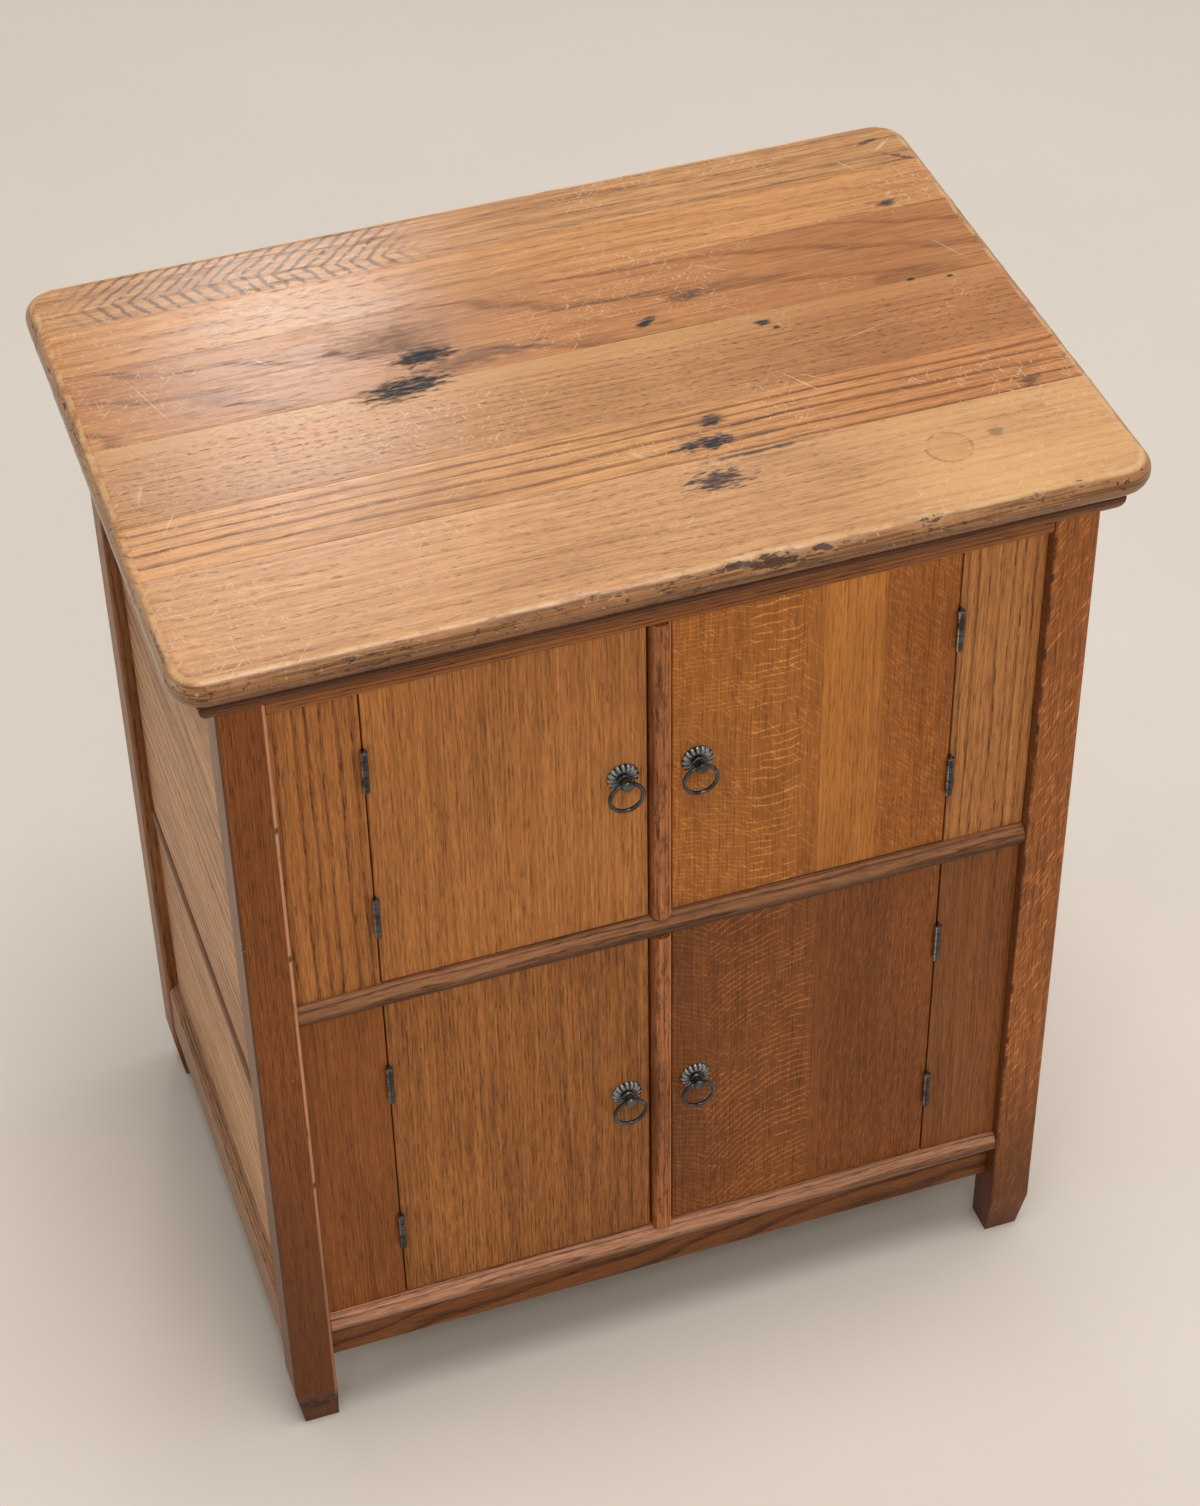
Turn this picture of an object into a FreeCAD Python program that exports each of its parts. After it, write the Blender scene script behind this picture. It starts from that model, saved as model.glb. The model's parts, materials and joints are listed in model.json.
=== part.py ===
import FreeCAD, Part
import math
import os
import Sketcher

# Oak four-door cupboard on posts, with butt hinges and fluted ring pulls

V = FreeCAD.Vector
doc = FreeCAD.newDocument("Cupboard")

# Driving dimensions, in millimetres: name, size, meaning
DIMENSIONS = (
    ("top_width", "730", "top, left to right"),
    ("top_depth", "504", "top, front to back"),
    ("top_height", "854", "floor to the surface of the top"),
    ("top_thick", "24", "thickness of the top boards"),
    ("top_corner", "28", "plan radius of the top's corners"),
    ("top_nosing", "11", "radius rolled round the top's edge"),
    ("overhang_side", "32", "top past the posts at each side"),
    ("overhang_front", "29", "top past the posts at the front"),
    ("overhang_back", "11", "top past the posts at the back"),
    ("frame_thick", "25", "moulded frame between the posts and the top"),
    ("frame_proud", "14", "moulding past the posts"),
    ("frame_fillet", "7", "square edge at the top of the moulding"),
    ("frame_quirk", "2", "step between that edge and the round"),
    ("frame_foot", "1.5", "moulding past the posts at its lower edge"),
    ("post_size", "36", "square of the posts"),
    ("post_arris", "3", "rounding of the posts' corners"),
    ("foot_height", "46", "floor to where the posts start to taper"),
    ("foot_taper", "7", "how far the outer faces run in at the floor"),
    ("door_recess", "10", "door face behind the front of the posts"),
    ("door_thick", "18", "thickness of doors and fixed panels"),
    ("door_edge", "1.2", "rounding of the doors' edges"),
    ("door_gap", "1.5", "gap round a door's free edges"),
    ("door_rest", "0.4", "gap between a closed door and its stop"),
    ("hinge_gap", "1.2", "gap between a door and its fixed panel"),
    ("bead_recess", "1.5", "bead nosing behind the front of the posts"),
    ("bead_flank", "1.4", "straight flank of a bead past the door face"),
    ("bead_height", "21", "height of the half-round rails"),
    ("low_level", "118", "middle of the lowest half-round rail"),
    ("rail_height", "18", "height of the top rail"),
    ("rail_round", "7", "rounding of the top rail's lower edge"),
    ("centre_width", "16.4", "width of the centre bead"),
    ("centre_shift", "6.3", "centre bead left of the middle"),
    ("stile_width", "44", "stile behind the centre bead"),
    ("stile_thick", "16", "thickness of that stile"),
    ("apron_level", "63", "underside of the apron and the low rails"),
    ("apron_recess", "15", "apron behind the front of the posts"),
    ("apron_thick", "18", "thickness of the apron"),
    ("apron_bevel", "6", "bevel along the apron's lower edge"),
    ("side_inset", "2", "side rails behind the faces of the posts"),
    ("side_thick", "20", "thickness of the side and back rails"),
    ("side_low_top", "114", "outer arris of the low side rail"),
    ("side_low_slope", "7", "rise of that rail's sloping top"),
    ("side_top_height", "50", "height of the upper side and back rails"),
    ("side_bead", "11", "height of the thin rail between the side panels"),
    ("side_bead_rise", "3.2", "that rail past the face of the panels"),
    ("panel_recess", "11", "side panels behind the faces of the posts"),
    ("panel_thick", "8", "thickness of the side panels"),
    ("back_inset", "12", "back boards behind the faces of the posts"),
    ("back_thick", "10", "thickness of the back boards"),
    ("back_joint", "0.6", "joint between the back boards"),
    ("shelf_thick", "14", "thickness of shelf and floor"),
    ("shelf_drop", "1.5", "shelf below the upper edge of the middle rail"),
    ("notch_gap", "0.3", "gap round the stile in the shelf"),
    ("cleat_size", "18", "square of the cleats and glue blocks"),
    ("block_length", "56", "length of the glue blocks"),
    ("hinge_length", "38", "length of a hinge"),
    ("hinge_barrel", "5.6", "diameter of the knuckles"),
    ("hinge_pin", "2.6", "diameter of the pin"),
    ("pin_fit", "0.05", "running gap round the pin"),
    ("pin_head", "0.6", "pin end past the knuckles"),
    ("knuckle_gap", "0.3", "gap between neighbouring knuckles"),
    ("leaf_thick", "1.2", "thickness of a hinge leaf"),
    ("leaf_width", "13", "leaf let into the wood"),
    ("leaf_gap", "0.15", "half the gap between closed leaves"),
    ("leaf_fit", "0.05", "gap between a leaf and its housing"),
    ("hinge_forward", "3.1", "pin in front of the door face"),
    ("pull_inset", "19.5", "pulls from the doors' closing edges"),
    ("rosette_diameter", "26", "across the rosette"),
    ("rosette_rim", "1.4", "thickness of the rosette's rim"),
    ("rosette_rise", "4.6", "height of the rosette's dome"),
    ("flute_width", "2.9", "width of a flute at the rim"),
    ("flute_depth", "1.1", "depth of a flute at the rim"),
    ("flute_start", "6.2", "radius where the flutes begin"),
    ("flute_lead", "0.5", "depth of a flute where it begins"),
    ("collar_diameter", "11.6", "collar of the boss"),
    ("collar_thick", "1.8", "thickness of that collar"),
    ("boss_diameter", "9.6", "barrel of the boss"),
    ("boss_neck", "7.4", "neck between collar and barrel"),
    ("boss_length", "14", "door face to the end of the boss"),
    ("boss_nose", "2.4", "rounding of the boss's end"),
    ("shank_diameter", "4", "shank through the door"),
    ("shank_spare", "4", "shank past the back of the door"),
    ("shank_fit", "0.1", "gap round the shank"),
    ("ring_radius", "13", "middle of the ring's wire"),
    ("ring_wire", "3.4", "diameter of the ring's wire"),
    ("ring_fit", "0.15", "gap round the wire in the boss"),
    ("eye_land", "1.5", "straight middle of the boss's eye"),
    ("pivot_forward", "9.4", "ring's pivot in front of the door face"),
    ("catch_diameter", "7", "barrel of the ball catch"),
    ("catch_length", "12", "depth of the ball catch"),
    ("catch_ball", "4.6", "diameter of its ball"),
    ("catch_proud", "0.7", "ball past the door's edge"),
    ("catch_fit", "0.05", "gap round the barrel"),
    ("overrun", "2", "cuts past the faces that they open"),
)

# Shares of the top's depth at which its boards meet, from the back
SEAM_SHARES = (0, 0.13, 0.25, 0.442, 0.63, 0.757, 1)
# Shares of the width between the posts where the glue blocks sit
BLOCK_SHARES = (-0.32, 0, 0.32)
# How far an arc rises from its chord, as a share of the chord: a quarter circle, and flatter curves
QUARTER_SHARE = math.tan(math.pi / 8) / 2
MOULDING_SHARE = 0.21
COLLAR_SHARE = 0.17
DOME_SHARE = 0.08
# How close to a plane an edge lies that counts as on it, as a share of the height
NEAR_SHARE = 1e-6
# Shares of the heights and the width that place the middle rails, hinges, pulls and catches
MID_SHARE = 0.5456
SIDE_MID_SHARE = 0.334
HINGE_SHARE = 0.7727
HINGE_SHARES = {"upper": (0.247, 0.746), "lower": (0.2355, 0.744)}
PULL_SHARES = {"upper": 0.516, "lower": 0.4985}
CATCH_SHARE = 0.68
BACK_BOARDS = 6
FLUTES = 16
KNUCKLES = 5

# Places worked out from the driving dimensions
PLACES = (
    ("post_x", "Dims.top_width / 2 - Dims.overhang_side"),
    ("inner_x", "Places.post_x - Dims.post_size"),
    ("front_y", "Dims.overhang_front - Dims.top_depth / 2"),
    ("back_y", "Dims.top_depth / 2 - Dims.overhang_back"),
    ("post_back_y", "Places.front_y + Dims.post_size"),
    ("back_post_y", "Places.back_y - Dims.post_size"),
    ("middle_y", "(Places.front_y + Places.back_y) / 2"),
    ("top_low", "Dims.top_height - Dims.top_thick"),
    ("frame_low", "Places.top_low - Dims.frame_thick"),
    ("door_y", "Places.front_y + Dims.door_recess"),
    ("door_back_y", "Places.door_y + Dims.door_thick"),
    ("stop_y", "Places.door_back_y + Dims.door_rest"),
    ("nose_y", "Places.front_y + Dims.bead_recess"),
    ("rail_level", "Places.frame_low - Dims.rail_height"),
    ("mid_level", f"Dims.low_level + {MID_SHARE} * (Places.rail_level - Dims.low_level)"),
    ("mid_low", "Places.mid_level - Dims.bead_height / 2"),
    ("mid_high", "Places.mid_level + Dims.bead_height / 2"),
    ("low_low", "Dims.low_level - Dims.bead_height / 2"),
    ("low_high", "Dims.low_level + Dims.bead_height / 2"),
    ("flank_y", "Places.door_y - Dims.bead_flank"),
    ("nose_rise", "Places.flank_y - Places.nose_y"),
    ("bead_left", "0 - Dims.centre_shift - Dims.centre_width / 2"),
    ("bead_right", "Dims.centre_width / 2 - Dims.centre_shift"),
    ("stile_left", "0 - Dims.centre_shift - Dims.stile_width / 2"),
    ("stile_right", "Dims.stile_width / 2 - Dims.centre_shift"),
    ("stile_back_y", "Places.stop_y + Dims.stile_thick"),
    ("hinge_y", "Places.door_y - Dims.hinge_forward"),
    ("hinge_x", f"Places.inner_x * {HINGE_SHARE}"),
    ("panel_edge", "Places.hinge_x + Dims.hinge_gap / 2"),
    ("door_edge_x", "Places.hinge_x - Dims.hinge_gap / 2"),
    ("rail_x", "Places.post_x - Dims.side_inset"),
    ("rail_in_x", "Places.rail_x - Dims.side_thick"),
    ("panel_x", "Places.post_x - Dims.panel_recess"),
    ("panel_in_x", "Places.panel_x - Dims.panel_thick"),
    ("side_low_in", "Dims.side_low_top + Dims.side_low_slope"),
    ("side_top_low", "Places.frame_low - Dims.side_top_height"),
    ("side_field", "Places.side_top_low - Places.side_low_in"),
    ("side_mid_level", f"Places.side_low_in + {SIDE_MID_SHARE} * Places.side_field"),
    ("side_mid_low", "Places.side_mid_level - Dims.side_bead / 2"),
    ("side_mid_high", "Places.side_mid_level + Dims.side_bead / 2"),
    ("board_y", "Places.back_y - Dims.back_inset"),
    ("board_in_y", "Places.board_y - Dims.back_thick"),
    ("back_rail_y", "Places.board_in_y + Dims.side_thick"),
    ("shelf_top", "Places.mid_high - Dims.shelf_drop"),
    ("shelf_low", "Places.shelf_top - Dims.shelf_thick"),
    ("floor_low", "Places.low_low"),
    ("floor_top", "Places.floor_low + Dims.shelf_thick"),
)

# The sheets, and short ways to read and bind them


def fill_sheet(name, rows):
    """A spreadsheet with one aliased cell in column B for each (alias, content, note)."""
    sheet = doc.addObject("Spreadsheet::Sheet", name)
    for row, (alias, content, note) in enumerate(rows, 1):
        sheet.set(f"A{row}", note)
        sheet.set(f"B{row}", content)
        sheet.setAlias(f"B{row}", alias)
        doc.recompute()
    return sheet


dims = fill_sheet("Dims", DIMENSIONS)
places = fill_sheet("Places", [(alias, "=" + rule, alias.replace("_", " ")) for alias, rule in PLACES])
parts = []


def value(rule):
    """The number that an expression gives at present."""
    return float(dims.evalExpression(str(rule)))


def bind(thing, rules):
    """Ties properties of a document object to expressions."""
    for name, rule in rules.items():
        thing.setExpression(name, str(rule))


def keep(thing, label):
    """Names a finished sub-part and puts it on the list of files."""
    thing.Label = label
    parts.append(thing)
    return thing


# Solids


def block(name, x, y, z):
    """A box between pairs of planes, each given as an expression."""
    box = doc.addObject("Part::Box", name)
    for length, axis, (low, high) in (("Length", "x", x), ("Width", "y", y), ("Height", "z", z)):
        bind(box, {length: f"({high}) - ({low})", f"Placement.Base.{axis}": low})
    return box


def rod(name, diameter, length):
    """A cylinder along Z from the origin."""
    cylinder = doc.addObject("Part::Cylinder", name)
    bind(cylinder, {"Radius": f"({diameter}) / 2", "Height": length})
    return cylinder


def body_for(name):
    return doc.addObject("PartDesign::Body", name)


def sketch_in(body, plane, offset, rise="0"):
    """An empty sketch on one of the body's planes, moved along its normal and its own vertical."""
    sketch = body.newObject("Sketcher::SketchObject", body.Name + "Sketch")
    origin = [item for item in body.Origin.OriginFeatures if item.Role == plane][0]
    sketch.AttachmentSupport = [(origin, "")]
    sketch.MapMode = "FlatFace"
    bind(sketch, {"AttachmentOffset.Base.z": offset, "AttachmentOffset.Base.y": rise})
    return sketch


def place_point(sketch, edge, end, kind, rule):
    """Ties one coordinate of a point of the sketch to an expression."""
    number = sketch.addConstraint(Sketcher.Constraint(kind, -1, 1, edge, end, value(rule)))
    bind(sketch, {f"Constraints[{number}]": rule})


def draw_arc(sketch, start, stop, bulge):
    """An arc between two corners, held by the place of its middle. Gives its number and its ends."""
    first = V(value(start[0]), value(start[1]), 0)
    last = V(value(stop[0]), value(stop[1]), 0)
    run = last - first
    share = value(bulge)
    middle = (first + last) / 2 - V(run.y, -run.x, 0) * (1 / 4 - share ** 2) / (2 * share)
    from_end, to_end = (first, last) if share > 0 else (last, first)
    angles = [math.atan2(spot.y - middle.y, spot.x - middle.x) for spot in (from_end, to_end)]
    circle = Part.Circle(middle, V(0, 0, 1), middle.distanceToPoint(first))
    edge = sketch.addGeometry(Part.ArcOfCircle(circle, *angles), False)
    shift = f"(1 / 4 - ({bulge}) ^ 2) / (2 * ({bulge}))"
    if abs(run.y) > abs(run.x):
        rule = f"(({start[0]}) + ({stop[0]})) / 2 - (({stop[1]}) - ({start[1]})) * {shift}"
        place_point(sketch, edge, 3, "DistanceX", rule)
    else:
        rule = f"(({start[1]}) + ({stop[1]})) / 2 + (({stop[0]}) - ({start[0]})) * {shift}"
        place_point(sketch, edge, 3, "DistanceY", rule)
    return (edge, 1, 2) if share > 0 else (edge, 2, 1)


def draw(sketch, corners):
    """A closed outline. A corner is (across, up), or (across, up, bulge) where an arc leaves it.

    The bulge is the arc's rise over its chord: above zero to the right of the run, below to its left.
    """
    ends = []
    for index, corner in enumerate(corners):
        follower = corners[(index + 1) % len(corners)]
        if len(corner) == 3:
            ends.append(draw_arc(sketch, corner, follower, corner[2]))
            continue
        start = V(value(corner[0]), value(corner[1]), 0)
        stop = V(value(follower[0]), value(follower[1]), 0)
        ends.append((sketch.addGeometry(Part.LineSegment(start, stop), False), 1, 2))
    for index, corner in enumerate(corners):
        edge, first, last = ends[index]
        before, start_end, stop_end = ends[index - 1]
        sketch.addConstraint(Sketcher.Constraint("Coincident", before, stop_end, edge, first))
        place_point(sketch, edge, first, "DistanceX", corner[0])
        place_point(sketch, edge, first, "DistanceY", corner[1])
    return sketch


# How far along its plane's normal a pad or pocket starts: XZ faces the front, against Y
STARTS = {
    "XY_Plane": ("{low}", "{high}"),
    "YZ_Plane": ("{low}", "{high}"),
    "XZ_Plane": ("0 - ({high})", "0 - ({low})"),
}


def pad(body, plane, corners, low, high):
    """Adds the outline's prism between two planes."""
    start = STARTS[plane][0].format(low=low, high=high)
    feature = body.newObject("PartDesign::Pad", body.Name + "Pad")
    feature.Profile = draw(sketch_in(body, plane, start), corners)
    bind(feature, {"Length": f"({high}) - ({low})"})
    doc.recompute()
    return body


def pocket(body, plane, corners, low, high):
    """Takes the outline's prism away between two planes."""
    before = body.Shape.Volume
    start = STARTS[plane][1].format(low=low, high=high)
    feature = body.newObject("PartDesign::Pocket", body.Name + "Pocket")
    feature.Profile = draw(sketch_in(body, plane, start), corners)
    bind(feature, {"Length": f"({high}) - ({low})"})
    doc.recompute()
    if not body.Shape.Volume < before:
        raise ValueError(f"a cut in {body.Name} takes nothing away")
    return body


def bore(body, plane, across, up, diameter, low, high):
    """A round hole between two planes."""
    before = body.Shape.Volume
    sketch = sketch_in(body, plane, STARTS[plane][1].format(low=low, high=high))
    middle = V(value(across), value(up), 0)
    edge = sketch.addGeometry(Part.Circle(middle, V(0, 0, 1), value(diameter) / 2), False)
    place_point(sketch, edge, 3, "DistanceX", across)
    place_point(sketch, edge, 3, "DistanceY", up)
    size = sketch.addConstraint(Sketcher.Constraint("Diameter", edge, value(diameter)))
    bind(sketch, {f"Constraints[{size}]": diameter})
    feature = body.newObject("PartDesign::Pocket", body.Name + "Bore")
    feature.Profile = sketch
    bind(feature, {"Length": f"({high}) - ({low})"})
    doc.recompute()
    if not body.Shape.Volume < before:
        raise ValueError(f"a bore in {body.Name} takes nothing away")
    return body


def round_over(body, picks, radius):
    """Rounds the edges of the body that picks() accepts."""
    base = body.Tip
    names = [f"Edge{number}" for number, edge in enumerate(base.Shape.Edges, 1) if picks(edge)]
    feature = body.newObject("PartDesign::Fillet", body.Name + "Fillet")
    feature.Base = (base, names)
    bind(feature, {"Radius": radius})
    doc.recompute()
    return body


def turn(body, corners):
    """Turns an outline about the body's Z axis."""
    sketch = draw(sketch_in(body, "XZ_Plane", "0"), corners)
    feature = body.newObject("PartDesign::Revolution", body.Name + "Turning")
    feature.Profile = sketch
    feature.ReferenceAxis = (sketch, ["V_Axis"])
    feature.Angle = 360
    doc.recompute()
    return body


def group_of(name, members):
    """Separate solids that are named and filed as one sub-part."""
    group = doc.addObject("Part::Compound", name)
    group.Links = members
    return group


def mirrored(source, name, normal, base_rules):
    """The source seen in a mirror plane."""
    copy = doc.addObject("Part::Mirroring", name)
    copy.Source = source
    copy.Normal = normal
    bind(copy, base_rules)
    return copy


def rectangle(across, up):
    """Corners of a rectangle between two pairs of expressions."""
    return [(across[0], up[0]), (across[1], up[0]), (across[1], up[1]), (across[0], up[1])]


def stands(edge):
    """True for an edge parallel to Z."""
    box = edge.BoundBox
    return box.ZLength > 2 * (box.XLength + box.YLength)


def lies_on(edge, axis, rule):
    """True for an edge in the plane at that place along an axis."""
    ends = (getattr(edge.BoundBox, axis + "Min"), getattr(edge.BoundBox, axis + "Max"))
    near = NEAR_SHARE * value("Dims.top_height")
    return all(abs(end - value(rule)) < near for end in ends)


# Top: one rounded blank, divided into boards


def make_top():
    blank = body_for("TopBlank")
    half_width = ("0 - Dims.top_width / 2", "Dims.top_width / 2")
    half_depth = ("0 - Dims.top_depth / 2", "Dims.top_depth / 2")
    pad(blank, "XY_Plane", rectangle(half_width, half_depth), "Places.top_low", "Dims.top_height")
    round_over(blank, stands, "Dims.top_corner")
    round_over(blank, lambda edge: not stands(edge), "Dims.top_nosing")
    for number in range(1, len(SEAM_SHARES)):
        near = f"Dims.top_depth * (0.5 - {SEAM_SHARES[number]})"
        far = f"Dims.top_depth * (0.5 - {SEAM_SHARES[number - 1]})"
        strip = block(f"TopStrip{number}", half_width, (near, far), ("Places.top_low", "Dims.top_height"))
        board = doc.addObject("Part::Common", f"TopBoard{number}")
        board.Base = blank
        board.Tool = strip
        keep(board, f"top_board_{number}")


# Moulded frame under the top: a square edge, a quirk and a round that runs in to the posts


def moulding_outline(face, way):
    """The moulding's section. face is the post's face and way is the sign of the outward direction."""

    def out(size):
        return f"({face}) + ({way}) * ({size})"

    step = "Places.top_low - Dims.frame_fillet"
    return [
        (out("0 - Dims.post_size"), "Places.frame_low"),
        (out("Dims.frame_foot"), "Places.frame_low", way * MOULDING_SHARE),
        (out("Dims.frame_proud - Dims.frame_quirk"), step),
        (out("Dims.frame_proud"), step),
        (out("Dims.frame_proud"), "Places.top_low"),
        (out("0 - Dims.post_size"), "Places.top_low"),
    ]


def make_top_frame():
    reach_x = "(Places.post_x + Dims.frame_proud)"
    reach_y = "(Places.front_y - Dims.frame_proud)"
    low = "Places.frame_low - Dims.overrun"
    high = "Places.top_low + Dims.overrun"
    front = body_for("TopMouldingFront")
    pad(front, "YZ_Plane", moulding_outline("Places.front_y", -1), f"0 - {reach_x}", reach_x)
    for side in (-1, 1):
        outer = (f"{side} * {reach_x}", reach_y)
        inner = (f"{side} * Places.inner_x", "Places.post_back_y")
        waste = (f"{side} * {reach_x}", "Places.post_back_y")
        pocket(front, "XY_Plane", [outer, inner, waste], low, high)
    keep(front, "top_moulding_front")
    left = body_for("TopMouldingLeft")
    pad(left, "XZ_Plane", moulding_outline("0 - Places.post_x", -1), reach_y, "Places.back_y")
    outer = (f"0 - {reach_x}", reach_y)
    inner = ("0 - Places.inner_x", "Places.post_back_y")
    pocket(left, "XY_Plane", [outer, inner, ("0 - Places.inner_x", reach_y)], low, high)
    keep(left, "top_moulding_left")
    right = mirrored(left, "TopMouldingRight", V(1, 0, 0), {})
    keep(right, "top_moulding_right")
    across = ("0 - Places.inner_x", "Places.inner_x")
    depth = ("Places.back_post_y", "Places.back_y")
    keep(block("TopFrameBack", across, depth, ("Places.frame_low", "Places.top_low")), "top_frame_back")


# Posts: rounded arrises, and outer faces that run in below the ridge of the foot


def make_posts():
    post = body_for("PostFrontLeft")
    across = ("0 - Places.post_x", "0 - Places.inner_x")
    depth = ("Places.front_y", "Places.post_back_y")
    pad(post, "XY_Plane", rectangle(across, depth), "0", "Places.frame_low")
    round_over(post, stands, "Dims.post_arris")
    past = "Dims.overrun * Dims.foot_taper / Dims.foot_height"
    for plane, face, span in (("XZ_Plane", across[0], depth), ("YZ_Plane", depth[0], across)):
        wedge = [
            (face, "Dims.foot_height"),
            (f"{face} - Dims.overrun", "Dims.foot_height"),
            (f"{face} - Dims.overrun", "0 - Dims.overrun"),
            (f"{face} + Dims.foot_taper + {past}", "0 - Dims.overrun"),
        ]
        pocket(post, plane, wedge, f"{span[0]} - Dims.overrun", f"{span[1]} + Dims.overrun")
    keep(post, "post_front_left")
    keep(mirrored(post, "PostFrontRight", V(1, 0, 0), {}), "post_front_right")
    back = mirrored(post, "PostBackLeft", V(0, 1, 0), {"Base.y": "Places.middle_y"})
    keep(back, "post_back_left")
    keep(mirrored(back, "PostBackRight", V(1, 0, 0), {}), "post_back_right")


# Front frame: top rail, two half-round rails, apron, centre beads and the stile behind them


def make_front_frame():
    across = ("0 - Places.inner_x", "Places.inner_x")
    rail = body_for("FrontTopRail")
    section = rectangle(("Places.nose_y", "Places.stop_y"), ("Places.rail_level", "Places.frame_low"))
    pad(rail, "YZ_Plane", section, *across)

    def is_lower_front(edge):
        return lies_on(edge, "Y", "Places.nose_y") and lies_on(edge, "Z", "Places.rail_level")

    round_over(rail, is_lower_front, "Dims.rail_round")
    keep(rail, "front_top_rail")
    for name, level in (("mid", "mid"), ("bottom", "low")):
        rail = body_for(f"Front{name.title()}Rail")
        section = [
            ("Places.flank_y", f"Places.{level}_high", "Places.nose_rise / Dims.bead_height"),
            ("Places.flank_y", f"Places.{level}_low"),
            ("Places.stop_y", f"Places.{level}_low"),
            ("Places.stop_y", f"Places.{level}_high"),
        ]
        keep(pad(rail, "YZ_Plane", section, *across), f"front_{name}_rail")
    apron = body_for("FrontApron")
    face = "(Places.front_y + Dims.apron_recess)"
    section = [
        (face, "Places.low_low"),
        (face, "Dims.apron_level + Dims.apron_bevel"),
        (f"{face} + Dims.apron_bevel", "Dims.apron_level"),
        (f"{face} + Dims.apron_thick", "Dims.apron_level"),
        (f"{face} + Dims.apron_thick", "Places.low_low"),
    ]
    keep(pad(apron, "YZ_Plane", section, *across), "front_apron")
    spans = (
        ("lower", "Places.low_high", "Places.mid_low"),
        ("upper", "Places.mid_high", "Places.rail_level"),
    )
    beads = []
    for name, low, high in spans:
        bead = body_for(f"CentreBead{name.title()}")
        section = [
            ("Places.bead_left", "Places.flank_y", "Places.nose_rise / Dims.centre_width"),
            ("Places.bead_right", "Places.flank_y"),
            ("Places.bead_right", "Places.stop_y"),
            ("Places.bead_left", "Places.stop_y"),
        ]
        beads.append(pad(bead, "XY_Plane", section, low, high))
    keep(group_of("CentreBeads", beads), "centre_beads")
    width = ("Places.stile_left", "Places.stile_right")
    depth = ("Places.stop_y", "Places.stile_back_y")
    keep(block("CentreStile", width, depth, ("Places.floor_top", "Places.frame_low")), "centre_stile")


# Doors and the fixed panels that they hang on

DOORS = [
    {"name": f"{row}_{side}", "side": way, "row": row}
    for row in ("upper", "lower")
    for side, way in (("left", -1), ("right", 1))
]
OPENINGS = {"upper": ("Places.mid_high", "Places.rail_level"), "lower": ("Places.low_high", "Places.mid_low")}
CLOSING = {-1: "(Places.bead_left - Dims.door_gap)", 1: "(Places.bead_right + Dims.door_gap)"}


def level_in(door, share):
    """The height at a share of a door's opening, from its lower edge."""
    low, high = OPENINGS[door["row"]]
    return f"({low} + {share} * ({high} - {low}))"


def hinge_levels(door):
    """Heights of the middles of a door's two hinges."""
    return [level_in(door, share) for share in HINGE_SHARES[door["row"]]]


def ordered(side, near, far):
    """A pair of expressions, mirrored to the left where side is -1, lowest first."""
    return (near, far) if side > 0 else (f"0 - ({far})", f"0 - ({near})")


def house_leaf(body, door, toward_door):
    """Shallow housings for the hinge leaves, in the edge of a door or of its fixed panel."""
    deep = "(Dims.leaf_gap + Dims.leaf_thick)"
    if toward_door:
        span = (f"Places.hinge_x - {deep}", "Places.hinge_x")
    else:
        span = ("Places.hinge_x", f"Places.hinge_x + {deep}")
    across = ordered(door["side"], *span)
    depth = ("Places.door_y - Dims.overrun", "Places.door_y + Dims.leaf_width + Dims.leaf_fit")
    half = "(Dims.hinge_length / 2 + Dims.leaf_fit)"
    for level in hinge_levels(door):
        pocket(body, "XY_Plane", rectangle(across, depth), f"{level} - {half}", f"{level} + {half}")


def make_panel(door):
    panel = body_for("FixedPanel" + door["name"].title().replace("_", ""))
    across = ordered(door["side"], "Places.panel_edge", "Places.inner_x")
    depth = ("Places.door_y", "Places.stop_y")
    pad(panel, "XY_Plane", rectangle(across, depth), *OPENINGS[door["row"]])
    house_leaf(panel, door, False)
    keep(panel, f"fixed_panel_{door['name']}")


def pull_place(door):
    """Across and height of the middle of a door's pull."""
    across = f"({CLOSING[door['side']]} + {door['side']} * Dims.pull_inset)"
    return across, level_in(door, PULL_SHARES[door["row"]])


def make_door(door):
    body = body_for("Door" + door["name"].title().replace("_", ""))
    side = door["side"]
    edges = (CLOSING[side], f"{side} * Places.door_edge_x")
    across = edges if side > 0 else edges[::-1]
    depth = ("Places.door_y", "Places.door_back_y")
    low, high = OPENINGS[door["row"]]
    pad(body, "XY_Plane", rectangle(across, depth), f"{low} + Dims.door_gap", f"{high} - Dims.door_gap")
    round_over(body, lambda edge: lies_on(edge, "Y", "Places.door_y"), "Dims.door_edge")
    house_leaf(body, door, True)
    reach, level = pull_place(door)
    hole = "Dims.shank_diameter + 2 * Dims.shank_fit"
    through = ("Places.door_y - Dims.overrun", "Places.door_back_y + Dims.overrun")
    bore(body, "XZ_Plane", reach, level, hole, *through)
    socket = "Dims.catch_diameter + 2 * Dims.catch_fit"
    inner = f"{CLOSING[side]} + {side} * Dims.catch_length"
    outer = f"{CLOSING[side]} - {side} * Dims.overrun"
    ends = (outer, inner) if side > 0 else (inner, outer)
    bore(body, "YZ_Plane", "Places.door_y + Dims.door_thick / 2", level_in(door, CATCH_SHARE), socket, *ends)
    keep(body, f"door_{door['name']}")


# Butt hinges: knuckles of the two leaves take turns along one pin


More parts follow.
